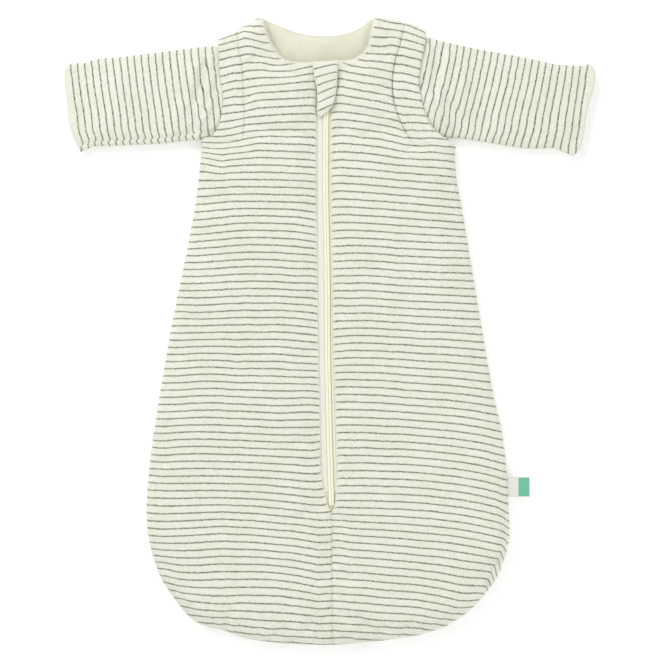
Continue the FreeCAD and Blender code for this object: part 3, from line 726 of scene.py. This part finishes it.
def bend_lapel(obj, side, reach=24.0):
    """The lapel turns over along its fold line, rounded over the reach."""
    a, b = np.array(FOLD[side][0]), np.array(FOLD[side][1])
    along = (b - a) / np.linalg.norm(b - a)
    inward = np.array([along[1], -along[0]]) * -OUTWARD[side]
    start = (a + b) / 2 + 3.0 * inward
    end = start + reach * inward
    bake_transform(obj, "bag", "lapel_" + side, start=(*(start * MM), FRONT_Z * MM),
             end=(*(end * MM), FRONT_Z * MM))


def lining_under(side, points, cells, is_lapel, bottom, gap):
    """The smooth inner cloth of the front, a little proud at the neck as a narrow piping."""
    neck = 1 - ease(gap["neck"] / 5)
    near = np.minimum(gap["side"], gap["hem"])
    top = bottom - CLEAR - 1.2 * ease((near - 2) / 10) + 0.6 * neck
    toward = NECK_MIDDLE - points
    toward /= np.linalg.norm(toward, axis=1)[:, None]
    spread = points + toward * (1.6 * neck * (gap["zip"] > 3))[:, None]
    for part, body, used, own_cells in front_parts(cells, is_lapel):
        obj = shell(part + side + "_inner_cloth", spread[used], own_cells, top[used],
                    top[used] - SKIN, level_pattern(points[used]))
        finish_cloth(obj, JERSEY, [f"{part}{side}_lining"], body)
        declare_sheet(points[used], len(own_cells) * GRID * GRID)
    bend_lapel(obj, side)


def declare_sheet(points, area):
    """Works out the sheet's width, length and a bounded area; nothing is done with them."""
    width, length = (points.max(0) - points.min(0)) * MM
    area = min(max(area * MM * MM, 0.31 * width * length), width * length)


def back_of_bag():
    """The padded back, from side seam to side seam, and its lining, which shows at the neck."""
    left, right = [[run[side] for run in (SHOULDER, STITCH, UNDERARM, SIDE, HEM)]
                   for side in ("left", "right")]
    border = outline_of(*left, *[run[::-1] for run in right[::-1]], BACK_NECK[::-1])
    points, cells = cloth_grid(border, GRID)
    x, y = points.T
    rolled = np.minimum.reduce([gap_to(run, points) for whole in (left, right)
                                for run in (whole[0], *whole[3:])])
    other = np.minimum.reduce([gap_to(run, points) for whole in (left, right)
                               for run in whole[1:3]])
    neck = gap_to(BACK_NECK, points)
    low = (SEAM_Z - 0.6) * (1 - dome(rolled, ROLL)) + 0.6 * (1 - dome(other, 4))
    low += 0.35 * (1 + ripple(x, y, 45, 8.2)) * ease(rolled / 20)
    low += 1.6 * (1 - dome(neck, 4))
    high = low + EDGE + (PAD - EDGE) * ease(np.minimum.reduce([rolled, neck, other]) / 6)
    pattern = level_pattern(points, LEFT_PITCH)
    back = shell("back_panel", points, cells, high, np.maximum(low, 0.0), pattern)
    finish_cloth(back, TERRY, ["back_outer", "back_wadding"], "bag")
    floor = high + CLEAR + 1.3 * ease((rolled - 4) / 12)
    floor += 0.6 * ripple(x, y, 38, 5.5) * ease(neck / 20) * ease(rolled / 20)
    floor = np.minimum(floor, SEAM_Z - 0.2)
    inner = shell("back_inner_cloth", points, cells, floor + SKIN, floor, pattern)
    finish_cloth(inner, JERSEY, ["back_lining"], "bag")
    declare_sheet(points, len(cells) * GRID * GRID)


# ---- armhole flaps
def armhole_flap(side):
    """The shoulder bands that cover the sleeve's zip, one over it and one under it."""
    stitch, foot = STITCH[side], FLAP_FOOT[side]
    points, cells = cloth_grid(outline_of(FLAP_EDGE[side], foot, [foot[-1], stitch[-1]],
                                          stitch[::-1]), FINE)
    x, y = points.T
    outer_gap, seam_gap, foot_gap = [gap_to(run, points) for run in (FLAP_EDGE[side], stitch, foot)]
    shoulder = ease((y - 322) / 22)
    top = FRONT_Z + 0.8 - 1.6 * (1 - dome(seam_gap, 3)) - 2.4 * (1 - dome(outer_gap, 5))
    top += 0.5 * ripple(x, y, 22, 6.6 * OUTWARD[side]) * ease(outer_gap / 4)
    top -= shoulder * (5.5 * (1 - dome(outer_gap, 14)) + 2.0)
    joined = 1 - ease((foot_gap - 1) / 12)
    top = top * (1 - joined) + (front_level(side, points) + 0.3) * joined
    bottom = top - EDGE - 1.0 * ease(np.minimum(outer_gap, seam_gap) / 3)
    front = shell(f"armhole_flap_{side}_cover", points, cells, top, bottom,
                  front_pattern(side, x, y))
    sharpen_cuts(front, cells, foot_gap > 1.0)
    finish_cloth(front, TERRY, [f"armhole_flap_{side}_front"])
    seam, lifted = FLAP_BEND[side]
    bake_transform(front, "bag", "armhole_flap_" + side, start=(seam * MM, ARM_Y * MM, FRONT_Z * MM),
             end=(lifted * MM, ARM_Y * MM, FRONT_Z * MM))
    low = 0.3 + 1.6 * shoulder * (1 - dome(outer_gap, 14)) + 0.7 * (1 - dome(outer_gap, 4))
    back = shell(f"armhole_flap_{side}_under", points, cells, low + 1.6, low,
                 level_pattern(points, LEFT_PITCH))
    finish_cloth(back, TERRY, [f"armhole_flap_{side}_back"], "bag")


# ---- sleeves
SLEEVE_TOP = {"left": [(-118, 319.5), (-139, 319), (-160, 316.5), (-197, 312), (-229, 308),
                       (-261, 305), (-275, 301), (-288, 301)],
              "right": [(97, 330), (110, 328.5), (130, 324), (152, 319), (178, 314), (203, 309.5),
                        (228, 304.5), (250, 299.5), (264, 298.5), (280, 297.5), (290, 299.5)]}
SLEEVE_LOW = {"left": [(-118, 219), (-142, 215), (-165, 213), (-190, 210), (-215, 209), (-245, 207.5),
                       (-262, 207.5), (-272, 204), (-279, 201)],
              "right": [(97, 224), (127, 217), (145, 216), (178, 211), (213, 205.5), (235, 204.5),
                        (252, 205), (263, 200.5), (272.5, 196.5)]}
SLEEVE_CUFF = {"left": [(-279, 201), (-286, 216), (-291, 232), (-293.5, 258), (-296, 280),
                        (-295.5, 294), (-288, 301)],
               "right": [(272.5, 196.5), (280, 207), (285, 235), (288, 251), (294.5, 273),
                         (296, 292), (290, 299.5)]}
SLEEVE_LEAN = {"left": {318: -2, 304: -1, 296: 0, 288: 1, 280: 2, 272: 3, 262: 4.5, 252: 6, 242: 7.5,
                        232: 8.5, 224: 9.5, 216: 12, 206: 15},
               "right": {328: 5, 312: 3, 304: 1.5, 296: 0, 288: -2, 280: -3.5, 272: -5.5, 262: -8,
                         252: -10.5, 242: -13, 232: -14.5, 224: -16, 216: -18.5, 206: -21}}
SLEEVE_START = {"left": (-290.0, 8.03), "right": (288.0, 7.88)}
SLEEVE_FOLDS = {
    "left": [(-132, 306, -139, 268, 4, 1.6), (-140, 300, -150, 258, 4, -1.4),
             (-150, 296, -160, 250, 5, 1.1), (-128, 262, -146, 232, 4, 1.8),
             (-138, 252, -156, 222, 4, -1.5), (-168, 250, -176, 222, 6, 0.9),
             (-128, 290, -133, 270, 3, 1.5), (-230, 290, -245, 230, 10, 0.7),
             (-283, 290, -276, 240, 4, -0.7), (-185, 300, -200, 230, 9, -0.6)],
    "right": [(110, 318, 106, 272, 4, 1.4), (122, 316, 116, 268, 4, -1.3),
              (134, 308, 124, 262, 5, 1.2), (116, 262, 132, 232, 4, 1.6),
              (126, 268, 146, 236, 4, -1.4), (150, 292, 146, 240, 6, 0.9),
              (160, 240, 176, 218, 6, -0.8), (200, 280, 190, 225, 9, 0.7),
              (250, 280, 244, 225, 8, -0.6), (284, 290, 274, 215, 4, -0.7)],
}


SLEEVE_LINES = (72, 40)  # mesh lines along one face, and across it
SLEEVE_WIDE, SLEEVE_WALL = 97, 2.2  # pattern width of one face, and cloth thickness
SLEEVE_BEND_Y, SLEEVE_BEND_Z, BEND_REACH = 260, 20, 45  # where a sleeve folds over, and how soon


def along_curve(points, where):
    """Places at fractions of the way along a smooth curve."""
    curve = bend_through(points, 1.0)
    steps = np.r_[0, np.cumsum(np.linalg.norm(np.diff(curve, axis=0), axis=1))]
    steps /= steps[-1]
    return np.column_stack([np.interp(where, steps, curve[:, 0]),
                            np.interp(where, steps, curve[:, 1])])


def sleeve_face(side, u, v):
    """One face of the flattened sleeve: its places in rows from the flap to the cuff."""
    top, low = along_curve(SLEEVE_TOP[side], u), along_curve(SLEEVE_LOW[side], u)
    cuff = along_curve(SLEEVE_CUFF[side], v)
    root = low[0] + (top[0] - low[0]) * v[:, None]
    uu, vv = u[:, None, None], v[None, :, None]
    corners = ((1 - uu) * (1 - vv) * low[0] + (1 - uu) * vv * top[0] + uu * (1 - vv) * low[-1]
               + uu * vv * top[-1])
    return ((1 - uu) * root[None] + uu * cuff[None] + (1 - vv) * low[:, None] + vv * top[:, None]
            - corners)


def tube(name, out, outside, inside, marks, plain=None):
    """A sleeve layer with wall thickness and rounded ends, cut open along its seam."""
    lip = (outside[-1] + inside[-1]) / 2 + np.array([out * 0.9, 0, 0])
    rings = np.array([*outside, lip, *inside[::-1]])
    marks = np.array([*marks, marks[-1] + [0, out, 0], *marks[::-1]])
    index = np.arange(rings.shape[0] * rings.shape[1]).reshape(rings.shape[:2])
    faces = grid_cells(np.vstack([index, index[:1]]))
    if plain is not None:
        plain = np.array([*plain, plain[-1], *plain[::-1]])
    obj = make_mesh(name, rings.reshape(-1, 3), faces if out > 0 else faces[:, ::-1],
                    marks.reshape(-1, 3), plain)
    close_seam(obj)
    return obj


def sleeve(side):
    """A flattened tube from under the flap to the cuff, with its lining inside."""
    out = OUTWARD[side]
    count_u, count_v = SLEEVE_LINES
    u = np.linspace(0, 1, count_u)
    turn = np.linspace(0, math.pi, count_v)
    v = 0.5 - 0.5 * np.sign(np.cos(turn)) * np.abs(np.cos(turn)) ** 0.8
    depth = np.abs(np.sin(turn)) ** 0.55
    flat = sleeve_face(side, u, v)
    fx, fy = flat[..., 0], flat[..., 1]

    def uneven(size, seed, squeeze=1.0):
        return ripple(fx.ravel(), fy.ravel() * squeeze, size, seed).reshape(fx.shape)

    shift = (8.3 - 1.9 * ease((u - 0.6) / 0.4))[:, None] * depth[None, :]
    middle = (8.4 - 1.2 * ease((u - 0.75) / 0.25))[:, None]
    crest = fold_relief(flat.reshape(-1, 2), SLEEVE_FOLDS[side]).reshape(fx.shape)
    waves = uneven(26, 2.7 * out)
    face = (crest * 3.0 + 1.0 * waves) * depth[None, :] * ease((u - 0.02) / 0.08)[:, None]
    gather = np.zeros(fx.shape)
    if side == "left":
        gather = ease((0.07 - v) / 0.02)[None, :] * ease((u - 0.08) / 0.1)[:, None]
        tucks = 1 + 0.6 * uneven(5, 1.9, 0.3)
        face -= 1.3 * tucks * np.exp(-((v - 0.065) / 0.016) ** 2)[None, :] * ease(u / 0.1)[:, None]
    front_z = middle + shift + face
    back_z = np.maximum(middle - shift + 0.4 * waves * depth[None, :], 0.0)

    start, pitch = SLEEVE_START[side]
    rows = sorted(SLEEVE_LEAN[side])
    values = np.array([SLEEVE_LEAN[side][row] for row in rows], float)
    upright = 1 - (0.4 * ease((fx - 190) / 95) if side == "right" else 0)
    front_along = (fx - spline(rows, values, fy.ravel()).reshape(fx.shape) * upright - start
                   - 0.8 * crest + 3.2 * gather)
    back_along = fx - values[-1] - start + 0.08 * out * (rows[-1] - fy)

    # round the tube: up the front, over the top edge and down the back, to the seam below
    def joined(front, back):
        return np.concatenate([front, back[:, ::-1][:, 1:]], 1)

    ring_xy = joined(flat, flat)
    ring_along = joined(front_along, back_along + 0.5 * pitch)
    around = np.concatenate([np.linspace(0, SLEEVE_WIDE, count_v),
                             np.linspace(SLEEVE_WIDE, 2 * SLEEVE_WIDE, count_v)[1:]])
    outer = np.dstack([ring_xy, joined(front_z, back_z)])
    above = outer[..., 2] > middle
    centre = np.dstack([np.broadcast_to(flat.mean(1, keepdims=True), ring_xy.shape),
                        np.broadcast_to(middle[..., None], above.shape + (1,))])
    inward = centre - outer
    inward[..., :2] *= 0.25
    inward /= np.linalg.norm(inward, axis=2, keepdims=True)

    def layer(surface, offset, clear):
        """The surface moved inwards, with its front and back kept clear of each other."""
        moved = surface + inward * offset
        moved[..., 2] = np.where(above, np.maximum(moved[..., 2], middle + clear),
                                 np.minimum(moved[..., 2], middle - clear))
        return moved

    inner = layer(outer, SLEEVE_WALL, 0.7)
    pattern = np.dstack([np.broadcast_to(around, above.shape), ring_along,
                         np.full(above.shape, pitch)])
    plain = ease((out * ring_along - 2.2) / 0.8)
    plain[:, [0, 1, -2, -1]] = 1
    cover = tube(f"sleeve_{side}_cover", out, outer, inner, pattern, plain)
    finish_cloth(cover, TERRY, [f"sleeve_{side}_outer", f"sleeve_{side}_wadding"])
    stop = count_u - 3
    lining = tube(f"sleeve_{side}_inner_cloth", out, layer(inner, 0.25, 0.5)[:stop],
                  layer(inner + inward * 0.25, 0.6, 0.2)[:stop],
                  pattern[:stop] * np.array([1, 1, 0]))
    finish_cloth(lining, JERSEY, [f"sleeve_{side}_lining"])

    # the sleeve stays with its zip at the armhole and folds over beyond it
    root = node_box(f"sleeve_{side}_zip_tape")[0 if side == "left" else 1][0] * MM
    bend = (SLEEVE_BEND_Y * MM, SLEEVE_BEND_Z * MM)
    for piece in (cover, lining):
        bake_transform(piece, f"sleeve_{side}_rim", "sleeve_" + side, start=(root, *bend),
                 end=(root + out * BEND_REACH * MM, *bend))


def close_seam(obj):
    """Joins what lies exactly together."""
    mesh = bmesh.new()
    mesh.from_mesh(obj.data)
    bmesh.ops.remove_doubles(mesh, verts=mesh.verts, dist=0.00002)
    bmesh.ops.recalc_face_normals(mesh, faces=mesh.faces)
    mesh.to_mesh(obj.data)
    mesh.free()
    obj.data.update()


# ---- the main zip
def band(name, left, right, low, high, z, thick, columns=6, step=2.0):
    """A flat strip along the zip between two lines beside it."""
    rows = max(2, int((high - low) / step))
    local = np.array([[left(r) + (right(r) - left(r)) * s, r, 1.0]
                      for r in np.linspace(low, high, rows) for s in np.linspace(0, 1, columns)])
    points = np.array([beside_zip(across, row) for across, row, _ in local])
    cells = grid_cells(np.arange(rows * columns).reshape(rows, columns))
    return shell(name, points, cells, np.full(len(points), z + thick), np.full(len(points), z),
                 local)


COIL_PITCH, WIRE = 1.2, 0.53  # tooth to tooth, and the wire's radius
WIRE_STEPS, WIRE_SIDES = 12, 6  # for each turn, and round the wire
TEETH_Z, TEETH_RISE = 18.95, 0.62  # the winding's middle, and its rise and fall
FORK_ROW, COIL_START, COIL_END = 473.0, LAPEL_ROW + 0.5, 483.0
TAPE_Z, FOOT_TAPE_Z, STOP_Z = 17.3, 17.0, 17.5  # undersides
UNDER_PANEL = 2.4  # how far the tape goes in under the cloth
FOOT_TURNS = 12  # teeth that go on below the lapels


def fork(row):
    """How far each half of the chain stands off the middle line: apart above the slider."""
    return 1.1 * float(ease((row - FORK_ROW + 4) / 8))


def wound_wire(name, centre, forward, radius, closed=False):
    """Round wire along a line of points; forward is the way that the winding advances."""
    tangent = np.gradient(centre, axis=0)
    if closed:
        tangent = np.roll(centre, -1, 0) - np.roll(centre, 1, 0)
    tangent /= np.linalg.norm(tangent, axis=1, keepdims=True)
    normal = np.cross(tangent, forward)
    normal /= np.linalg.norm(normal, axis=1, keepdims=True)
    binormal = np.cross(tangent, normal)
    spin = np.arange(WIRE_SIDES) / WIRE_SIDES * math.tau
    ring = (normal[:, None] * np.cos(spin)[None, :, None]
            + binormal[:, None] * np.sin(spin)[None, :, None])
    return joined_rings(name, centre[:, None] + ring * radius[:, None, None], closed)


def joined_rings(name, rings, closed, marks=None):
    """A tube through rings of points: its ends are capped, or meet when it is closed."""
    count, around = rings.shape[:2]
    faces = []
    for i in range(count if closed else count - 1):
        for j in range(around):
            a, b = i * around + j, i * around + (j + 1) % around
            c = (i + 1) % count * around
            faces.append((a, b, c + (j + 1) % around, c + j))
    if not closed:
        faces.append(tuple(range(around))[::-1])
        faces.append(tuple(range((count - 1) * around, count * around)))
    return make_mesh(name, rings.reshape(-1, 3), faces, marks)


def coil(side, low, high):
    """A nylon monofilament wound into teeth, sewn along the tape's edge."""
    out = OUTWARD[side]
    turns = int((high - low) / COIL_PITCH)
    t = np.arange(turns * WIRE_STEPS + 1) / WIRE_STEPS
    angle = t * math.tau + (0 if side == "left" else math.pi)
    rows = low + t * COIL_PITCH
    flare = np.array([fork(r) for r in rows])
    reach = (1 - np.cos(angle)) / 2
    across = out * (0.5 + flare + 2.1 * reach)
    z = TEETH_Z + TEETH_RISE * np.sin(angle)
    centre = np.array([[*beside_zip(a, r), h] for a, r, h in zip(across, rows, z)])
    radius = WIRE + 0.04 * np.exp(-(reach / 0.16) ** 2)
    forward = np.array([-math.sin(LEAN), math.cos(LEAN), 0])
    return wound_wire(f"zip_coil_{side}_teeth", centre, forward, radius)


def main_zip():
    for side, out in OUTWARD.items():
        edge = TAPE_LEFT if side == "left" else TAPE_RIGHT
        tape = band(f"zip_tape_{side}_cloth", lambda r: out * (0.1 + fork(r)),
                    lambda r: out * (edge + UNDER_PANEL), LAPEL_ROW + 0.3, 498, TAPE_Z, 0.7)
        finish_cloth(tape, TAPE, [f"zip_tape_{side}"])
        bend_lapel(tape, side)
        teeth = coil(side, COIL_START, COIL_END)
        finish_cloth(teeth, COIL, [f"zip_coil_{side}"])
        bend_lapel(teeth, side)


def zip_foot():
    """Where the two tapes meet below the chain, with the stop that ends it, coloured olive-dark as painted
    shade of the gap at the zip's tip.
    """
    base = band("zip_tape_foot_cloth", lambda r: -TAPE_LEFT, lambda r: TAPE_RIGHT + UNDER_PANEL,
                -2.0, LAPEL_ROW + 1.6, FOOT_TAPE_Z, 0.55, step=1.0)
    finish_cloth(base, TAPE, ["zip_tape_base"], "bag")

    def half_width(row):
        return 0.7 + 2.3 * float(ease((row + 0.5) / 7.0))

    stop = band("zip_foot_stop", lambda r: -half_width(r), half_width, -0.4, 5.2, STOP_Z, 2.3,
                columns=13, step=0.35)
    for vertex in stop.data.vertices:  # its top is rounded over
        if vertex.co.z > (STOP_Z + 1) * MM:
            row = (vertex.co.y / MM - ZIP_FOOT[1]) / math.cos(LEAN)
            across = (vertex.co.x / MM - beside_zip(0, row)[0]) / half_width(row)
            vertex.co.z -= (0.9 * min(abs(across), 1.0) ** 3 + 0.9 * float(ease((3 - row) / 4))) * MM
    finish_cloth(stop, STOP_PAINTED_SHADE, ["zip_bottom_stop"], "bag")
    for side in OUTWARD:
        teeth = coil(side, COIL_START - COIL_PITCH * FOOT_TURNS, COIL_START)
        teeth.name = f"zip_coil_{side}_foot_teeth"
        finish_cloth(teeth, COIL, [], "bag")


# ---- the zips round the armholes
BAG_TAPE, SLEEVE_TAPE = 13.0, 9.5  # tape beside the armhole's zip
TAPE_LINES = (120, 6)  # mesh lines round the ring, and across the tape


def round_armhole(low, high, along):
    """Points on the flattened ring of an armhole zip, with their outward and forward ways."""
    radius = (high[2] - low[2]) / 2 - 0.9
    straight = high[1] - low[1] - 2 * radius
    arc = math.pi * radius
    s = along * 2 * (straight + arc)
    angle = (np.clip((s - straight) / radius, 0, math.pi)
             + np.clip((s - 2 * straight - arc) / radius, 0, math.pi))
    out = np.column_stack([0 * s, np.sin(angle), np.cos(angle)])
    forward = np.column_stack([0 * s, np.cos(angle), -np.sin(angle)])
    y = low[1] + radius + np.clip(s, 0, straight) - np.clip(s - straight - arc, 0, straight)
    place = np.column_stack([0 * s, y, np.full(len(s), (low[2] + high[2]) / 2)]) + radius * out
    return place, out, forward, 2 * (straight + arc)


def armhole_zip(side):
    """Tape and teeth round the armhole, half of them on the bag and half on the sleeve."""
    out = OUTWARD[side]
    bag_coil, sleeve_coil = node_box(f"armhole_coil_{side}"), node_box(f"sleeve_{side}_zip_coil")
    middle = (bag_coil[0][0] + bag_coil[1][0] + sleeve_coil[0][0] + sleeve_coil[1][0]) / 4
    halves = ((f"armhole_coil_{side}", f"armhole_tape_{side}", "bag", -out, BAG_TAPE),
              (f"sleeve_{side}_zip_coil", f"sleeve_{side}_zip_tape", f"sleeve_{side}_rim", out,
               SLEEVE_TAPE))
    for coil_node, tape_node, body, away, width in halves:
        low, high = node_box(coil_node)
        length = round_armhole(low, high, np.zeros(1))[3]
        turns = round(length / COIL_PITCH)
        t = np.arange(turns * WIRE_STEPS) / (turns * WIRE_STEPS)
        place, lift, forward, _ = round_armhole(low, high, t)
        angle = t * turns * math.tau + (0 if away < 0 else math.pi)
        reach = (1 - np.cos(angle)) / 2
        centre = place + lift * (0.35 + 0.55 * np.sin(angle))[:, None]
        centre[:, 0] = middle + away * (0.5 + 1.9 * reach)
        teeth = wound_wire(coil_node + "_teeth", centre, forward, np.full(len(t), WIRE), closed=True)
        close_seam(teeth)
        finish_cloth(teeth, COIL, [coil_node], body)

        rows, columns = TAPE_LINES
        t = np.arange(rows) / rows
        place, lift, _, _ = round_armhole(low, high, t)
        reach = np.linspace(0.4, width, columns)
        reach = np.concatenate([reach, reach[::-1]])
        depth = np.repeat([-0.5, -1.2], columns)
        rings = place[:, None] + lift[:, None] * depth[None, :, None]
        rings[..., 0] = middle + away * reach
        marks = np.dstack([np.broadcast_to(10 + reach, rings.shape[:2]),
                           np.broadcast_to(length * t[:, None], rings.shape[:2]),
                           np.zeros(rings.shape[:2])]).reshape(-1, 3)
        tape = joined_rings(tape_node + "_cloth", rings, True, marks)
        close_seam(tape)
        finish_cloth(tape, TAPE, [tape_node], body)


# ---- guard flap at the neck
GUARD_STEP, GUARD_Z, GUARD_FOOT_TOP = 1.1, 25.1, 298.4


def box_sides(x0, y0, x1, y1):
    """The four straight sides of a rectangle."""
    corners = [(x0, y0), (x1, y0), (x1, y1), (x0, y1)]
    return zip(corners, corners[1:] + corners[:1])


GUARD = [[(-20, 299.3), (-18.3, 289), (-16.8, 280), (-14.6, 270), (-14.2, 255), (-14.6, 244),
          (-12.6, 238)],
         [(-12.6, 238), (-6, 242), (0.5, 247.5), (4.6, 255)],
         [(4.6, 255), (7.2, 268), (8.4, 285), (8.6, 300.5)],
         [(8.6, 300.5), (-5, 300.8), (-20, 299.3)]]


def guard_flap():
    """The small folded flap that covers the slider when the zip is closed."""
    points, cells = cloth_grid(outline_of(*GUARD), GUARD_STEP)
    x, y = points.T
    gap = np.minimum.reduce([gap_to(run, points) for run in GUARD[:3]])
    drape = GUARD_Z - 2.6 * ease((252 - y) / 16) + 0.5 * ease(gap / 8)
    drape -= 1.3 * (1 - dome(gap_to(GUARD[3], points), 5))
    top = drape - 0.9 * (1 - dome(gap, 2.2)) + 0.25 * ripple(x, y, 14, 4.4)
    rise = 0.21 + 0.24 * ease((298 - y) / 34)
    along = y - rise * (x + 10.7) + 1.8 * ease((x - 5.5) / 3) - 246.3
    pattern = np.column_stack([x, along, np.full(len(x), 9.45)])
    cover = shell("zip_guard_cover", points, cells, top, top - 1.1, pattern,
                  1 - ease((gap - 0.3) / 0.9))
    finish_cloth(cover, TERRY, ["zip_guard_outer"], "guard_flap")
    under = shell("zip_guard_inner_cloth", points, cells, top - 1.15, top - 1.75,
                  level_pattern(points))
    finish_cloth(under, JERSEY, ["zip_guard_lining"], "guard_flap")
    declare_sheet(points, len(cells) * GUARD_STEP ** 2)

    low, high = node_box("zip_guard_base")
    stand = outline_of(*box_sides(low[0], low[1], high[0], GUARD_FOOT_TOP))
    points, cells = cloth_grid(stand, 1.0)
    edge = distance_to(np.vstack([stand, stand[:1]]), points)[0]
    height = high[2] - 0.8 * (1 - dome(edge, 1.5))
    base = shell("zip_guard_foot", points, cells, height, np.full(len(points), low[2] - 0.6),
                 front_pattern("right", *points.T))
    finish_cloth(base, TERRY, ["zip_guard_base"], "lapel_right")


# ---- label in the side seam
def side_label():
    """A plain folded label and a plain green bar on it: whatever the photograph's says is left out."""
    low = node_box("side_label")[0]
    for name, node, thick, finish in (("side_label_leaf", "side_label", 0.7, LABEL_WHITE),
                                      ("side_label_green_bar", "side_label_bar", 0.25, LABEL_GREEN)):
        a, b = node_box(node)
        points, cells = cloth_grid(outline_of(*box_sides(a[0], a[1], b[0], b[1])), 1.0)
        x, y = points.T
        lift = 0.9 * ease((x - low[0]) / 26) + 0.35 * np.sin((y - low[1]) / 7.0)
        top = a[2] + thick + lift
        leaf = shell(name, points, cells, top, top - thick, level_pattern(points))
        finish_cloth(leaf, finish, [node], "bag")


# ---- build it all
for each_side in ("left", "right"):
    lapel, *front = front_half(each_side)
    lining_under(each_side, *front)
    bend_lapel(lapel, each_side)
    armhole_flap(each_side)
    armhole_zip(each_side)
    sleeve(each_side)
back_of_bag()
main_zip()
zip_foot()
guard_flap()
side_label()

# CAD nodes whose own shape is right get their finish
for name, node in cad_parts.items():
    if node.hide_render:
        continue
    if "stop" in name:
        finish = COIL[0]
    elif "slider" in name or "pull" in name:
        finish = ENAMEL
    else:
        continue
    if not node.data.materials:
        node.data.materials.append(finish)
    for index in range(len(node.data.materials)):
        node.data.materials[index] = finish

# ---- floor, light and camera
FLOOR_SIZE, FLOOR_Z = 14, -0.0008  # metres from here on
SKY_LIGHT = 0.72
CAMERA_PLACE, CAMERA_LENS = (0, 0.0017, 2.062), 100

pale = Nodes("floor_white")
cloudy = pale.noise(pale.add("TexCoord").outputs["Object"], 6.0)
bpy.ops.mesh.primitive_plane_add(size=FLOOR_SIZE, location=(0, 0, FLOOR_Z))
floor = bpy.context.object
floor.name = "floor"
floor.data.materials.append(pale.finish(
    Base_Color=(0.93, 0.93, 0.93, 1), Roughness=pale.ramp(cloudy, 0.3, 0.7, 0.85, 0.95),
    Emission_Color=(1, 1, 1, 1), Emission_Strength=0.22))

world = bpy.data.worlds.new("studio")
bpy.context.scene.world = world
world.use_nodes = True
sky = world.node_tree.nodes["Background"].inputs
sky["Color"].default_value, sky["Strength"].default_value = (1, 1, 1, 1), SKY_LIGHT


def soft_box(name, place, size, power):
    light = bpy.data.lights.new(name, "AREA")
    light.energy, light.size = power, size
    obj = bpy.data.objects.new(name, light)
    obj.location = place
    bpy.context.scene.collection.objects.link(obj)
    aim = obj.constraints.new("TRACK_TO")
    aim.target, aim.track_axis, aim.up_axis = frame_centre, "TRACK_NEGATIVE_Z", "UP_Y"


frame_centre = bpy.data.objects.new("aim", None)
bpy.context.scene.collection.objects.link(frame_centre)
soft_box("key_light", (-1.3, 1.9, 1.9), 1.4, 29)
soft_box("fill_light", (1.6, -1.4, 2.2), 2.0, 13)

camera_data = bpy.data.cameras.new("camera")
camera_data.lens, camera_data.clip_end = CAMERA_LENS, 30
camera = bpy.data.objects.new("camera", camera_data)
camera.location = CAMERA_PLACE
bpy.context.scene.collection.objects.link(camera)
bpy.context.scene.camera = camera
bpy.context.scene.view_settings.view_transform = "Standard"
